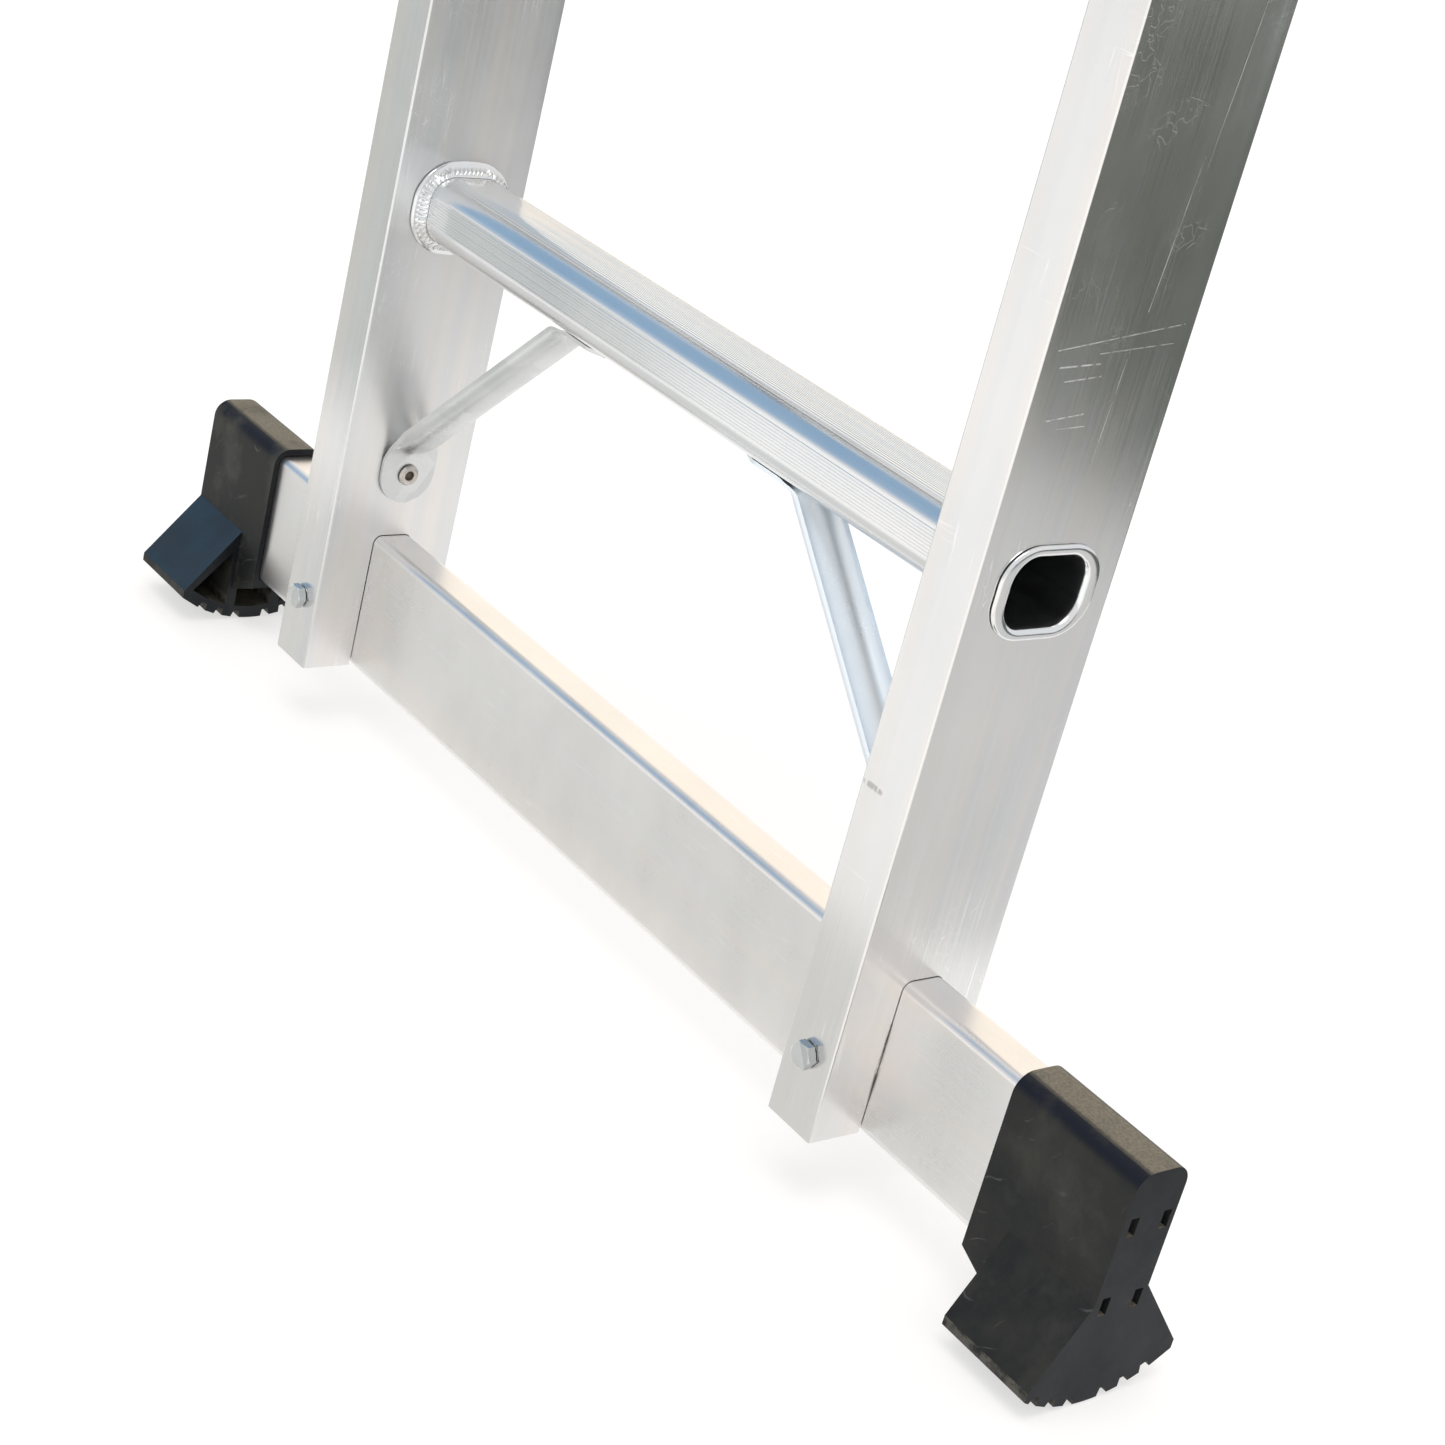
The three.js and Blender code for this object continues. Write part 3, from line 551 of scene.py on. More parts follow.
# the right brace gets a painted light-blue reflection of the sky
BRACE = plain_metal("brace_zinc", (0.72, 0.73, 0.725, 1), (0.61, 0.625, 0.625, 1), 0.26, 0.38,
                    painted_sky_reflection=(0.86, 0.92, 0.97, 1))
GUIDE = plain_metal("guide_zinc", (0.78, 0.80, 0.82, 1), (0.60, 0.63, 0.66, 1), 0.28, 0.42)
HOOK = plain_metal("hook_cast", (0.60, 0.61, 0.62, 1), (0.44, 0.45, 0.46, 1), 0.42, 0.58, grain=900,
                   spangle=25, depth=0.00012)
LATCH = plain_metal("latch_zinc", (0.76, 0.77, 0.74, 1), (0.58, 0.60, 0.60, 1), 0.3, 0.44)
RIVET = plain_metal("rivet_steel", (0.72, 0.68, 0.64, 1), (0.50, 0.46, 0.42, 1), 0.28, 0.42, spangle=200)
# the feet get a pale film on top, partly dust and partly a painted sheen, and painted shade and sky
# reflections
FOOT = moulded("foot_rubber", (0.009, 0.010, 0.011, 1), (0.024, 0.024, 0.021, 1), 0.42, 0.58, 0.2,
               dust_and_painted_light=0.9)
CAP = moulded("cap_plastic", (0.008, 0.008, 0.009, 1), (0.02, 0.02, 0.021, 1), 0.35, 0.5, 0.45)


# ---------------------------------------------------------------- rungs

LIP_FLAT = 0.587  # a lip stands out less above and below the tube than before and behind it
TREAD_HALF, TREAD_PITCH, TREAD_GROOVE = 15.6, 1.25, 0.2
SIDE_LOW, SIDE_HIGH, SIDE_PITCH, SIDE_GROOVE = -5.2, 6.2, 1.22, 0.3
PLAIN_PITCH = 1.15


def rung_outline(step=0.05):
    """A dense walk round the rung's outline: (y, z, normal y, normal z, arc length), and its whole length."""
    half_y, half_z = RUNG_DEPTH / 2 - RUNG_CORNER, RUNG_HEIGHT / 2 - RUNG_CORNER
    centres = [(half_y, half_z), (-half_y, half_z), (-half_y, -half_z), (half_y, -half_z)]
    points = []
    s = 0.0
    for k, (cy, cz) in enumerate(centres):
        length = RUNG_CORNER * math.pi / 2
        n = int(length / step)
        for i in range(n):
            a = k * math.pi / 2 + math.pi / 2 * i / n
            ny, nz = math.cos(a), math.sin(a)
            points.append((cy + RUNG_CORNER * ny, cz + RUNG_CORNER * nz, ny, nz, s + length * i / n))
        s += length
        a = k * math.pi / 2 + math.pi / 2
        ny, nz = math.cos(a), math.sin(a)
        begin = (cy + RUNG_CORNER * ny, cz + RUNG_CORNER * nz)
        next_y, next_z = centres[(k + 1) % 4]
        end = (next_y + RUNG_CORNER * ny, next_z + RUNG_CORNER * nz)
        length = math.dist(begin, end)
        n = int(length / step)
        for i in range(n):
            f = i / n
            points.append((begin[0] + (end[0] - begin[0]) * f, begin[1] + (end[1] - begin[1]) * f,
                           ny, nz, s + length * f))
        s += length
    return points, s


OUTLINE, PERIMETER = rung_outline()


def at_length(s):
    k = min(range(len(OUTLINE)), key=lambda i: abs(OUTLINE[i][4] - s))
    return OUTLINE[k]


def ribbed_samples():
    """Arc lengths and groove depths round the rung: a fluted tread, two fluted sides, smooth elsewhere."""
    tread = [p[4] for p in OUTLINE if p[1] > RUNG_HEIGHT / 2 - 3.6 and abs(p[0]) < TREAD_HALF]
    front = [p[4] for p in OUTLINE if p[2] < -0.9 and SIDE_LOW < p[1] < SIDE_HIGH]
    back = [p[4] for p in OUTLINE if p[2] > 0.9 and SIDE_LOW < p[1] < SIDE_HIGH]
    before = [s - PERIMETER for s in back if s > PERIMETER / 2]
    after = [s for s in back if s < PERIMETER / 2]
    zones = sorted([(min(tread), max(tread), TREAD_PITCH, TREAD_GROOVE, 0.14),
                    (min(front), max(front), SIDE_PITCH, SIDE_GROOVE, 0.26),
                    (min(before), max(after), SIDE_PITCH, SIDE_GROOVE, 0.26)])
    samples = []
    for k, (start, end, pitch, depth, wide) in enumerate(zones):
        n = round((end - start) / pitch)
        p = (end - start) / n
        for i in range(n):
            b = start + i * p
            samples += [(b + 0.08 * p, depth), (b + (0.08 + wide) * p, depth), (b + (0.2 + wide) * p, 0),
                        (b + 0.95 * p, 0)]
        following = zones[(k + 1) % len(zones)][0] + (PERIMETER if k == len(zones) - 1 else 0)
        m = max(1, int((following - end) / PLAIN_PITCH))
        samples += [(end + (following - end) * (i + 0.5) / m, 0) for i in range(m)]
    return [(s % PERIMETER, d) for s, d in samples]


RIBS = [(at_length(s), d) for s, d in ribbed_samples()]
EVEN_STEPS = 224
EVEN = [at_length(PERIMETER * i / EVEN_STEPS) for i in range(EVEN_STEPS)]


def rung(node, half, y, z, body):
    """The fluted tube with a rolled lip outside each stile, and a serrated bead ring inside each."""
    def ribs(x, grow, fluted):
        up = grow * LIP_FLAT if grow > 0 else grow
        return [(x, y + p[0] + p[2] * (grow - fluted * depth), z + p[1] + p[3] * (up - fluted * depth))
                for p, depth in RIBS]

    def bead(x, grow, teeth=0.0):
        ring = []
        for i, p in enumerate(EVEN):
            belly = 1.4 * max(0, 1 - (p[0] / 13) ** 2) * abs(p[3])
            belly += 0.6 * max(0, 1 - (p[1] / 9) ** 2) * abs(p[2])
            out = grow + belly * min(1, grow / 4) - teeth * (i % 4 in (1, 2))
            ring.append((x, y + p[0] + p[2] * out, z + p[1] + p[3] * out))
        return ring

    inner, face = half - STILE_THICK - GAP, half + GAP
    # along the tube to its end and back a little inside it: x, how far out, how much of the flutes' depth
    side = [(inner - 14, 0, 1), (inner - 9, 0, 0.8), (inner - 5, -0.05, 0.25), (inner - 3, 0, 0),
            (inner, 0, 0), (face, 0, 0), (face, 3.9, 0), (face + 0.15, 4.45, 0), (face + 0.55, 4.6, 0),
            (face + 1.0, 4.3, 0), (face + 1.35, 3.4, 0), (face + 1.5, 2.2, 0), (face + 1.5, 1.0, 0),
            (face + 1.4, 0, 0), (face + 1.05, -0.9, 0), (face + 0.4, -1.5, 0), (face - 1.0, -1.9, 0),
            (face - 3.0, -RUNG_WALL, 0)]
    tube = loft([ribs(*s) for s in side] + [ribs(-x, *s) for x, *s in side[::-1]], loop=True)
    # across the bead ring, inwards from the stile: x, how far out, how deep its teeth are
    shape = [(0, 0.04), (0, 4.2), (0.25, 4.65), (0.75, 4.8), (1.25, 4.6), (1.6, 4.1), (1.75, 3.5),
             (1.9, 3.1, 0.2), (2.2, 2.9, 1.1), (3.6, 2.5, 1.2), (4.7, 1.8, 1.0), (5.3, 0.9, 0.5), (5.4, 0.04)]
    rings = [bead(inner - x, *s) for x, *s in shape]
    collars = [loft(rings, loop=True), loft([[(-px, py, pz) for px, py, pz in r] for r in rings], loop=True)]
    obj = raw_object(f"{node}_detail", merge(tube, *collars))
    finish_piece(obj, body, RUNG, node, degrees=40)


for i in range(RUNGS):
    rung(f"base_rung_{i + 1}", BASE_HALF, RUNG_Y, FIRST_RUNG_Z + PITCH * i, "base")
    rung(f"fly_rung_{i + 1}", FLY_HALF, FLY_Y + RUNG_Y, FLY_FIRST_RUNG_Z + PITCH * i, "fly")


# ---------------------------------------------------------------- stiles and bar

STILE_FACE = STILE_DEPTH / 2


def stile(name, half, y, bottom, top, first, body, cutters):
    middle, inner = half - STILE_THICK / 2, half - STILE_THICK
    outer = prism(rounded(STILE_THICK, STILE_DEPTH, STILE_CORNER, middle, y, 4), bottom, top, "z")
    hollow = prism(rounded(STILE_THICK - 2 * STILE_WALL, STILE_DEPTH - 2 * STILE_WALL, 0.8, middle, y, 3),
                   bottom - 1, top + 1, "z")
    slots = [prism(rounded(RUNG_DEPTH + 2 * GAP, RUNG_HEIGHT + 2 * GAP, RUNG_CORNER + GAP, y + RUNG_Y,
                           first + PITCH * i, 8), inner - 1, half + 1, "x") for i in range(RUNGS)]
    pair(name, outer, body, "stile_aluminium", STILE, cuts=[hollow, merge(*slots, *cutters)], degrees=28)


bar_slot = prism(rounded(BAR_DEPTH + 2 * GAP, 2 * BAR_HEIGHT + 2 * GAP, BAR_CORNER + GAP, BAR_Y,
                         BASE_BOTTOM, 6), BASE_HALF - STILE_THICK - 1, BASE_HALF + 1, "x")
front_wall, back_wall = (-STILE_FACE - 2, -STILE_FACE + 4), (STILE_FACE - 4, STILE_FACE + 2)
bolt_holes = [rod(BOLT_HOLE, *wall, "y", (BOLT_X, 0, BOLT_Z)) for wall in (front_wall, back_wall)]
rivet_holes = [rod(RIVET_HOLE, 0, 5, "x", (BASE_HALF - STILE_THICK - 1, BRACE_Y, BRACE_RIVET_Z))]
rivet_holes += [rod(RIVET_HOLE, *front_wall, "y", (BOLT_X, 0, z)) for z in GUIDE_RIVET_Z]
stile("base_stile", BASE_HALF, 0, BASE_BOTTOM, BASE_TOP, FIRST_RUNG_Z, "base",
      [bar_slot] + bolt_holes + rivet_holes)
stile("fly_stile", FLY_HALF, FLY_Y, FLY_BOTTOM, FLY_TOP, FLY_FIRST_RUNG_Z, "fly",
      [rod(BOLT_HOLE, 0, STILE_THICK + 2, "x", (FLY_HALF - STILE_THICK - 1, FLY_Y, z)) for z in HOOK_BOLT_Z])


BAR_MIDDLE = BASE_BOTTOM + BAR_HEIGHT / 2


def bar():
    outer = prism(rounded(BAR_DEPTH, BAR_HEIGHT, BAR_CORNER, BAR_Y, BAR_MIDDLE, 8), -BAR_HALF, BAR_HALF, "x")
    hollow = prism(rounded(BAR_DEPTH - 2 * BAR_WALL, BAR_HEIGHT - 2 * BAR_WALL, BAR_CORNER - BAR_WALL, BAR_Y,
                           BAR_MIDDLE, 5), -BAR_HALF - 1, BAR_HALF + 1, "x")
    holes = merge(*[rod(BOLT_HOLE, -BAR_DEPTH, BAR_DEPTH, "y", (x, 0, BOLT_Z)) for x in (-BOLT_X, BOLT_X)])
    obj = carved("stabiliser_bar_detail", outer, cuts=[hollow, holes])
    finish_piece(obj, "base", BAR, "stabiliser_bar", degrees=28)


bar()


# ---------------------------------------------------------------- feet

SOLE_Y, SOLE_Z, SOLE_R = 1.1, 67, 67
SOLE_FRONT, SOLE_BACK = -29, 36
NOTCHES = (7.3, 16, 24.9)
NOTCH_HALF, NOTCH_ROOT, NOTCH_DEPTH = 2.1, 1.4, 3.5
FAN_INNER, SLEEVE_INNER, SLEEVE_OUTER = 294.3, 276, 339.5
SLEEVE_WALL, SLEEVE_ROOF, FAN_WALL = 2.9, 3.7, 6


def sole(radius, degrees):
    """A point (y, z) at a radius from the fan's middle, at an angle from straight down."""
    a = math.radians(degrees)
    return (SOLE_Y + radius * math.sin(a), SOLE_Z - radius * math.cos(a))


def notch(a):
    return [sole(SOLE_R, a - NOTCH_HALF), sole(SOLE_R - NOTCH_DEPTH, a - NOTCH_ROOT),
            sole(SOLE_R - NOTCH_DEPTH, a + NOTCH_ROOT), sole(SOLE_R, a + NOTCH_HALF)]


def toothed_arc():
    """The sole's arc from front to back, with the same notches on each side of its middle."""
    arc = [sole(SOLE_R, SOLE_FRONT)]
    for a in NOTCHES[::-1]:
        arc += notch(-a)
    arc += [sole(SOLE_R, a) for a in (-3, 0, 3)]
    for a in NOTCHES:
        arc += notch(a)
    return arc + [sole(SOLE_R, SOLE_BACK)]


def foot():
    """The right foot as pair() takes it: a sleeve, the fan and skirts added, the cuts, the end slots."""
    front, back = BAR_Y - BAR_DEPTH / 2 - SLEEVE_WALL, BAR_Y + BAR_DEPTH / 2 + SLEEVE_WALL
    floor, roof = BASE_BOTTOM - SLEEVE_ROOF, BASE_BOTTOM + BAR_HEIGHT + SLEEVE_ROOF
    sleeve = fillet([(front, floor), (back, floor), (back, roof), (front, roof)], [0, 0, 8, 8], 8)
    arc = toothed_arc()
    lips = [(y, z + 4) for y, z in (arc[0], arc[-1])]
    fan = [(front, floor + 19.5), lips[0]] + arc + [lips[1], (back, floor + 22.5)]
    skirt = [(SLEEVE_INNER, floor), (SLEEVE_INNER + 34, 9), (SLEEVE_OUTER, 9),
             (SLEEVE_OUTER, floor + 1), (SLEEVE_INNER, floor + 1)]
    webs = [prism(skirt, y, y + SLEEVE_WALL, "y") for y in (front, back - SLEEVE_WALL)]
    cavity = prism(rounded(BAR_DEPTH + 2 * GAP, BAR_HEIGHT + 2 * GAP, BAR_CORNER, BAR_Y, BAR_MIDDLE, 6),
                   SLEEVE_INNER - 1, SLEEVE_OUTER - SLEEVE_ROOF, "x")
    inner = SOLE_R - FAN_WALL
    tunnels = [
        [(front - 2.3, floor + 9), sole(inner, -27.5), sole(inner, -21), sole(inner, -14.4)],
        [(back + 2.3, floor + 12), sole(inner, 14.4), sole(inner, 24), sole(inner, 34.5)],
        [(front + SLEEVE_WALL, floor - 3), sole(inner, -9.3), sole(inner, 0), sole(inner, 9.3),
         (back - SLEEVE_WALL, floor - 3)]]
    tunnels = [prism(t, FAN_INNER - 25, SLEEVE_OUTER - 3.5, "x") for t in tunnels]
    slots = [prism(rounded(4, 7.6, 0.4, 1.5 + side * 8.1, z, 2), SLEEVE_OUTER - 5, SLEEVE_OUTER + 1, "x")
             for z in (43.6, 77.4) for side in (-1, 1)]
    return {"part": prism(sleeve, SLEEVE_INNER, SLEEVE_OUTER, "x"),
            "adds": [prism(fan, FAN_INNER, SLEEVE_OUTER, "x")] + webs,
            "cuts": [cavity] + tunnels,
            "holes": [merge(*slots)]}


pair("foot", body="base", slot="foot_rubber", material=FOOT, copy=turned_copy, degrees=35, width=0.5,
     segments=3, **foot())


# ---------------------------------------------------------------- braces and rivets

BRACE_STILE_X = BASE_HALF - STILE_THICK - GAP
BRACE_TOP_Z = FIRST_RUNG_Z - RUNG_HEIGHT / 2 - GAP
TAB_HALF, CHANNEL_HALF, CHANNEL_DEPTH, BRACE_SHEET, BRACE_BEND = 14.0, 10.6, 6.6, 1.7, 7.0


def eased(low, high, value):
    """0 below low, 1 above high, and a smooth step between."""
    t = min(1, max(0, (value - low) / (high - low)))
    return t * t * (3 - 2 * t)


def brace_path():
    """Points (x, z) along the brace's middle, its two bends rounded, at steps of about 2.5 mm."""
    stile_x, top_z = BRACE_STILE_X - 0.9, BRACE_TOP_Z - 0.9
    corners = [Vector(c) for c in ((stile_x, 113.5), (stile_x, 139), (80, top_z), (50, top_z))]
    path = [corners[0]]
    for a, p, b in zip(corners, corners[1:], corners[2:]):
        start, end = p + (a - p).normalized() * BRACE_BEND, p + (b - p).normalized() * BRACE_BEND
        for i in range(9):
            t = i / 8
            path.append(start * (1 - t) ** 2 + p * 2 * t * (1 - t) + end * t * t)
    path.append(corners[-1])
    dense = [path[0]]
    for q in path[1:]:
        start = dense[-1]
        n = max(1, round((q - start).length / 2.5))
        dense += [start + (q - start) * (i + 1) / n for i in range(n)]
    return dense


def brace():
    """A pressed half-round channel with a round flat tab at its lower end and a flat tab under the rung."""
    path = brace_path()
    lengths = [0.0]
    for a, b in zip(path, path[1:]):
        lengths.append(lengths[-1] + (b - a).length)
    total = lengths[-1]
    rings = []
    steps = 24
    for k, (p, s) in enumerate(zip(path, lengths)):
        a, b = path[max(k - 1, 0)], path[min(k + 1, len(path) - 1)]
        along = (b - a).normalized()
        out = Vector((along.y, -along.x))
        half = TAB_HALF - (TAB_HALF - CHANNEL_HALF) * eased(20, 36, s)
        if s < TAB_HALF:
            half = math.sqrt(max(TAB_HALF ** 2 - (TAB_HALF - s) ** 2, 4))
        if s > total - 8:
            half = CHANNEL_HALF - 3.2 * (1 - eased(0, 8, total - s))
        round_share = eased(22, 40, s) * (1 - eased(total - 37, total - 27, s))
        deep = CHANNEL_DEPTH * round_share
        ring = []
        for side in (1, -1):
            for i in range(steps + 1):
                a = (-1 + 2 * i / steps) * side * math.pi / 2
                across = half * math.sin(a) * round_share + half * 2 * a / math.pi * (1 - round_share)
                q = p + out * (deep * 0.5 - deep * math.cos(a) + side * BRACE_SHEET / 2)
                ring.append((q.x, BRACE_Y + across, q.y))
        rings.append(ring)
    return loft(rings)


pair("brace", brace(), "base", "brace_steel", BRACE, degrees=40,
     cuts=[rod(RIVET_HOLE, -6, 6, "x", (BRACE_STILE_X, BRACE_Y, BRACE_RIVET_Z)),
           rod(RIVET_HOLE, -6, 6, "z", (BRACE_RIVET_X, BRACE_Y, BRACE_TOP_Z))])


def rivet(grip, axis, at):
    """A hollow rivet: a domed flange with a dark bore, and a rolled tail behind."""
    profile = [(1.9, grip), (2.1, 0.2), (2.3, -1.2), (2.8, -1.6), (3.7, -1.65), (4.5, -1.25), (4.95, -0.6),
               (5.0, -0.15), (4.8, 0), (2.4, 0), (2.4, grip + 1), (3.3, grip + 2.0), (3.0, grip + 3.0),
               (1.2, grip + 3.2), (0.05, grip + 3.2), (0.05, grip)]
    return lathe(profile, axis, at, 40, loop=True)


rivets = [("brace_stile_rivet", rivet(4, "x", (BRACE_STILE_X - 2 - GAP, BRACE_Y, BRACE_RIVET_Z))),
          ("brace_rung_rivet", rivet(4, "z", (BRACE_RIVET_X, BRACE_Y, BRACE_TOP_Z - 2 - GAP)))]
guide_face = -STILE_FACE - GAP - UPPER_GUIDE_SHEET - GAP
rivets += [(f"upper_guide_rivet_{k + 1}", rivet(5, "y", (BOLT_X, guide_face, z)))
           for k, z in enumerate(GUIDE_RIVET_Z)]
for name, shape in rivets:
    pair(name, shape, "base", "rivet_steel", RIVET)


# ---------------------------------------------------------------- bolts and nuts

THREAD_LENGTH, THREAD_ROOT, CORE = 9, 2.55, 0.05


def bolt(low, tip, axis, at):
    """A hexagonal head that stands out from low, and a shank with thread ridges that ends at tip."""
    d = 1 if tip > low else -1
    thread = []
    h = tip - d * THREAD_LENGTH
    while d * (tip - h) > 1.0:
        thread += [(BOLT_RADIUS, h), (THREAD_ROOT, h + d * 0.5)]
        h += d * 1.0
    shank_start = low - d * 0.3
    profile = [(CORE, shank_start), (BOLT_RADIUS, shank_start)] + thread + [(2.4, tip), (CORE, tip)]
    return merge(hexagon(BOLT_FLATS, low, low - d * BOLT_HEAD, axis, at), lathe(profile, axis, at, 32))


def bolt_and_nut(name, body, axis, at, low, nut_low, tip):
    """A bolt from low to tip, and the nut on it from nut_low on. {} in the name stands for bolt or nut."""
    d = 1 if tip > low else -1
    nut = hexagon(BOLT_FLATS, nut_low, nut_low + d * NUT_HEIGHT, axis, at, bore=NUT_BORE, both=True)
    pair(name.format("bolt"), bolt(low, tip, axis, at), body, "bolt_zinc", ZINC, degrees=25)
    pair(name.format("nut"), nut, body, "bolt_zinc", ZINC, degrees=25)


bar_bolt_y = STILE_FACE + GAP
bolt_and_nut("bar_{}", "base", "y", (BOLT_X, 0, BOLT_Z), -bar_bolt_y, bar_bolt_y, bar_bolt_y + 7.4)
hook_bolt_x = FLY_HALF + LOWER_GUIDE_SHEET + 2 * GAP
hook_nut_x = FLY_HALF - STILE_THICK - 2 * GAP - HOOK_PLATE
for k, z in enumerate(HOOK_BOLT_Z):
    bolt_and_nut(f"hook_{{}}_{k + 1}", "fly", "x", (0, FLY_Y, z), hook_bolt_x, hook_nut_x, hook_nut_x - 7)


# ---------------------------------------------------------------- guides, hooks, latches, caps

def upper_guide():
    """The outline (x, y) of the bracket that holds the fly's stile from outside and in front."""
    sheet = UPPER_GUIDE_SHEET
    web, back, front = FLY_HALF + 2.5, -STILE_FACE - GAP, FLY_Y - STILE_FACE - 2.5
    line = [(208, back), (web, back), (web, front), (155, front), (155, front - sheet),
            (web + sheet, front - sheet), (web + sheet, back - sheet), (208, back - sheet)]
    return fillet(line, [0.6, 0.6, 1.2, 0.6, 0.6, 4.2, 1.2, 0.6], 5)


def lower_guide():
    """The outline (x, y) of the bracket on the fly's stile, which runs round behind the base's stile."""
    sheet, plate, gap_back = LOWER_GUIDE_SHEET, FLY_HALF + GAP, -35
    outside, rear = BASE_HALF + 2.5, STILE_FACE + 2.5
    line = [(plate, -98), (plate + sheet, -98), (plate + sheet, gap_back - sheet),
            (outside + sheet, gap_back - sheet), (outside + sheet, rear + sheet), (196, rear + sheet),
            (196, rear), (outside, rear), (outside, gap_back), (plate, gap_back)]
    return fillet(line, [0.5, 0.5, 1.0, 3.5, 3.5, 0.5, 0.5, 1.0, 1.0, 3.0], 5)


pair("upper_guide", prism(upper_guide(), 1965, 2025, "z"), "base", "guide_steel", GUIDE, width=0.5,
     cuts=[rod(RIVET_HOLE, -6, 6, "y", (BOLT_X, -STILE_FACE - GAP, z)) for z in GUIDE_RIVET_Z])
pair("lower_guide", prism(lower_guide(), 592, 660, "z"), "fly", "guide_steel", GUIDE, width=0.5,
     cuts=[rod(BOLT_HOLE, -6, 6, "x", (FLY_HALF + GAP, FLY_Y, z)) for z in HOOK_BOLT_Z])

HOOK_X = FLY_HALF - STILE_THICK - GAP
LATCH_X = HOOK_X - HOOK_PLATE - GAP
RUNG_TOP = FLY_FIRST_RUNG_Z + RUNG_HEIGHT / 2
RUNG_UNDER = FLY_FIRST_RUNG_Z - RUNG_HEIGHT / 2
LATCH_PIVOT = (0, LATCH_Y, LATCH_Z)


def hook():
    """The outline (y, z) of the plate whose mouth sits on the base's second rung."""
    mouth_top = RUNG_TOP + 0.7
    mouth_front, mouth_back = RUNG_Y - RUNG_DEPTH / 2 - 2.5, RUNG_Y + RUNG_DEPTH / 2 + 2.9
    tip = RUNG_TOP - 29
    points = [(-95, 560), (-44, 560), (-38, 552), (-38, tip), (mouth_front, tip), (mouth_front, mouth_top),
              (mouth_back, mouth_top), (mouth_back, tip), (mouth_back + 13, tip), (mouth_back + 13, 566),
              (mouth_back + 5, 580), (-55, 660), (-95, 660)]
    return fillet(points, [5, 3, 3, 5, 4, 7, 7, 4, 6, 6, 6, 12, 12], 6)


# a lightening window in the hook's plate, between its bolts and its mouth
window = fillet([(-52, 590), (-22, 590), (-24, 604), (-50, 626)], 5, 5)
pair("hook", prism(hook(), HOOK_X - HOOK_PLATE, HOOK_X, "x"), "fly", "hook_aluminium", HOOK, width=0.7,
     cuts=[prism(window, HOOK_X - HOOK_PLATE - 1, HOOK_X + 1, "x"),
           merge(*[rod(BOLT_HOLE, -9, 9, "x", (HOOK_X, FLY_Y, z)) for z in HOOK_BOLT_Z]),
           rod(PIN_HOLE, -9, 9, "x", (HOOK_X, LATCH_Y, LATCH_Z))])


def latch():
    """The latch's lever and its tail, which closes the hook's mouth under the rung."""
    bottom, top = RUNG_TOP + 0.5, RUNG_TOP + 17.5
    nose, y = RUNG_UNDER - 3, LATCH_Y
    lever = fillet([(y + 4, bottom), (y + 4, top), (y - 52, top), (y - 60, top - 5), (y - 60, bottom)],
                   [2, 3, 5, 4, 2], 5)
    tail = fillet([(y - 5, LATCH_Z), (y - 5, nose - 11), (y + 18, nose - 11), (y + 25, nose - 5),
                   (y + 25, nose), (y + 5, nose), (y + 5, LATCH_Z)], [0, 4, 4, 2, 2, 3, 0], 5)
    return [prism(outline, LATCH_X - LATCH_PLATE, LATCH_X, "x") for outline in (lever, tail)]


lever, tail = latch()
latch_at = (LATCH_X, LATCH_Y, LATCH_Z)
pair("latch", lever, "right_latch", "latch_steel", LATCH, left_body="left_latch", width=0.6,
     adds=[tail, rod(9, -LATCH_PLATE, 0, "x", latch_at, 48)], cuts=[rod(PIN_HOLE, -9, 9, "x", latch_at)])


def latch_pin():
    """A pin through hook and latch, with a rounded head at each end."""
    far, near = HOOK_X + GAP, LATCH_X - LATCH_PLATE - GAP
    profile = [(CORE, near - 2.4), (5.4, near - 2.4), (6.6, near - 1.7), (7, near - 0.8), (7, near),
               (3.5, near), (3.5, far), (7, far), (7, far + 1.4), (6.3, far + 2.1), (5.2, far + 2.4),
               (CORE, far + 2.4)]
    return lathe(profile, "x", LATCH_PIVOT, 40)


pair("latch_pin", latch_pin(), "fly", "bolt_zinc", ZINC)


def cap(half, y, end, up):
    """A domed plastic head at the stile's end, with a plug inside it; up is 1, or -1 at the lower end."""
    middle = half - STILE_THICK / 2
    shape = ((4.6, -18, 1), (4.6, 0.3, 1), (0.2, 0.3, 2.4), (0, 0.5, 2.5), (0, 2.8, 2.5), (0.25, 3.5, 2.5),
             (0.8, 4.0, 2.2), (1.7, 4.3, 1.6))
    rings = []
    for inset, h, radius in shape:
        outline = rounded(STILE_THICK - 2 * inset, STILE_DEPTH - 2 * inset, radius, middle, y, 6)
        rings.append([place("z", u, v, end + up * h) for u, v in outline])
    return loft(rings)


pair("base_top_cap", cap(BASE_HALF, 0, BASE_TOP, 1), "base", "cap_plastic", CAP)
pair("fly_top_cap", cap(FLY_HALF, FLY_Y, FLY_TOP, 1), "fly", "cap_plastic", CAP)
pair("fly_bottom_cap", cap(FLY_HALF, FLY_Y, FLY_BOTTOM, -1), "fly", "cap_plastic", CAP)


# ---------------------------------------------------------------- floor, light, camera

FAR = 14  # metres from the middle to the floor's edge
EDGE = 7.0  # metres to the cards' far edges


def flat_sheet(name, corners, z, material):
    """A flat four-cornered sheet at height z, in metres."""
    mesh = bpy.data.meshes.new(name)
    mesh.from_pydata([(x, y, 0) for x, y in corners], [], [(0, 1, 2, 3)])
    mesh.materials.append(material)
    obj = bpy.data.objects.new(name, mesh)
    obj.location.z = z
    bpy.context.scene.collection.objects.link(obj)
    return obj


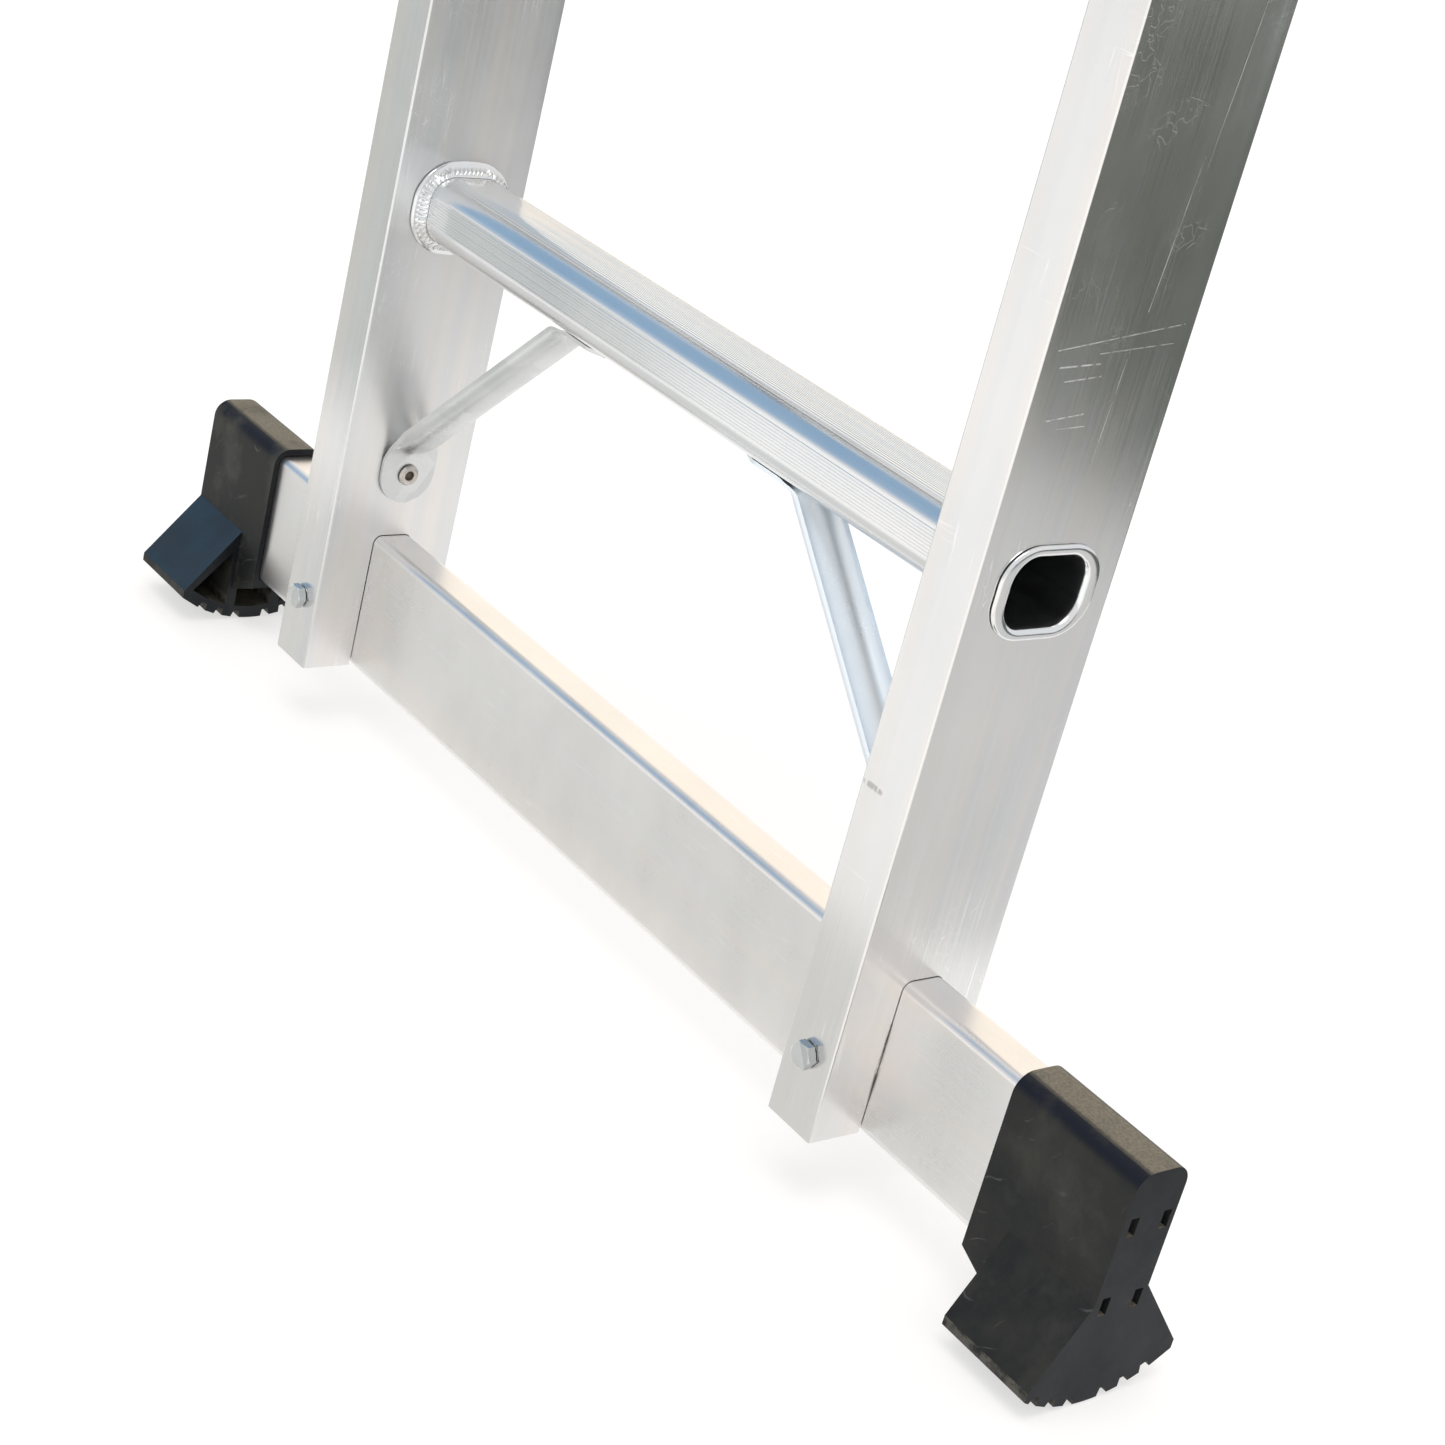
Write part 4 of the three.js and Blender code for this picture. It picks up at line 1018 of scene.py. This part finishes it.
def floor():
    g = Graph("floor_paper")
    g.set(Base_Color=(0.42, 0.41, 0.40, 1), Roughness=0.9, Emission_Color=(1, 0.995, 0.985, 1),
          Emission_Strength=0.62)
    obj = flat_sheet("floor", [(-FAR, -FAR), (FAR, -FAR), (FAR, FAR), (-FAR, FAR)], -0.0006, g.material)


def card(name, corners, colour):
    """A glowing card flat on the floor, seen only in the metal, like those that give it edges in a studio."""
    material = bpy.data.materials.new(name)
    material.use_nodes = True
    tree = material.node_tree
    glow = tree.nodes.new("ShaderNodeEmission")
    glow.inputs["Color"].default_value = (*colour, 1)
    tree.links.new(glow.outputs[0], tree.nodes["Material Output"].inputs["Surface"])
    obj = flat_sheet(name, corners, 0.0004, material)
    for ray in ("camera", "diffuse", "shadow", "transmission", "volume_scatter"):
        setattr(obj, f"visible_{ray}", False)


def world():
    """A soft sky: near white, bluer on the left in front, and warmer on the left behind."""
    studio = bpy.data.worlds.new("studio")
    bpy.context.scene.world = studio
    studio.use_nodes = True
    tree = studio.node_tree
    direction = tree.nodes.new("ShaderNodeTexCoord").outputs["Generated"]

    def lobe(vector, low, high):
        """0 outside a cone round a direction, 1 near its middle; low and high are cosines."""
        dot = tree.nodes.new("ShaderNodeVectorMath")
        dot.operation = "DOT_PRODUCT"
        tree.links.new(direction, dot.inputs[0])
        dot.inputs[1].default_value = Vector(vector).normalized()
        ramp = tree.nodes.new("ShaderNodeMapRange")
        ramp.interpolation_type = "SMOOTHSTEP"
        tree.links.new(dot.outputs["Value"], ramp.inputs["Value"])
        ramp.inputs["From Min"].default_value, ramp.inputs["From Max"].default_value = low, high
        return ramp.outputs[0]

    def mix(factor, a, b):
        node = tree.nodes.new("ShaderNodeMix")
        node.data_type = "RGBA"
        tree.links.new(factor, node.inputs[0])
        for socket, value in ((6, a), (7, b)):
            if isinstance(value, bpy.types.NodeSocket):
                tree.links.new(value, node.inputs[socket])
            else:
                node.inputs[socket].default_value = (*value, 1)
        return node.outputs[2]

    colour = mix(lobe((-0.72, -0.48, 0.50), 0.875, 0.99), (0.92, 0.93, 0.95), (0.33, 0.50, 0.70))
    colour = mix(lobe((-0.62, 0.68, 0.40), 0.80, 0.96), colour, (1.32, 1.22, 1.08))
    tree.links.new(colour, tree.nodes["Background"].inputs["Color"])
    tree.nodes["Background"].inputs["Strength"].default_value = 0.95


def softbox(name, place_at, target, size, power, colour):
    light = bpy.data.lights.new(name, "AREA")
    light.shape, light.size, light.energy, light.color = "DISK", size, power, colour
    obj = bpy.data.objects.new(name, light)
    obj.location = place_at
    obj.rotation_euler = (Vector(target) - Vector(place_at)).to_track_quat("-Z", "Y").to_euler()
    bpy.context.scene.collection.objects.link(obj)


def camera():
    """The viewpoint: its place in metres, and its right, up and forward directions."""
    data = bpy.data.cameras.new("camera")
    data.lens, data.sensor_width = 69.39, 36
    data.clip_start, data.clip_end = 0.02, 60
    obj = bpy.data.objects.new("camera", data)
    right, up = Vector((0.57891, 0.78132, 0.23324)), Vector((-0.46242, 0.07900, 0.88313))
    forward = Vector((-0.67158, 0.61911, -0.40703))
    rotation = Matrix((right, up, -forward)).transposed().to_4x4()
    obj.matrix_world = Matrix.Translation((0.8156, -0.6888, 0.58235)) @ rotation
    bpy.context.scene.collection.objects.link(obj)
    bpy.context.scene.camera = obj


floor()
world()
card("dark_card", [(0.0, 0.735), (EDGE, 0.735), (EDGE, EDGE), (0.0, EDGE)], (0.125, 0.136, 0.12))
card("grey_card", [(0.345, 0.12), (EDGE, 0.12), (EDGE, 0.735), (0.345, 0.735)], (0.71, 0.71, 0.705))
card("bright_card", [(0.17, -EDGE), (EDGE, -EDGE), (EDGE, -0.22), (0.17, -0.22)], (1.25, 1.24, 1.2))
card("side_card", [(-EDGE, -4.62), (-5.05, -4.62), (-0.36, -0.28), (-EDGE, -0.28)], (0.63, 0.645, 0.63))
card("low_card", [(-0.66, -0.2), (0.16, -0.2), (0.28, -0.045), (-0.5, -0.045)], (0.76, 0.765, 0.75))
softbox("key", (0.6, -1.2, 4.5), (0, 0, 0.2), 3.0, 70, (1.0, 0.98, 0.95))
camera()
bpy.context.scene.view_settings.view_transform = "Standard"
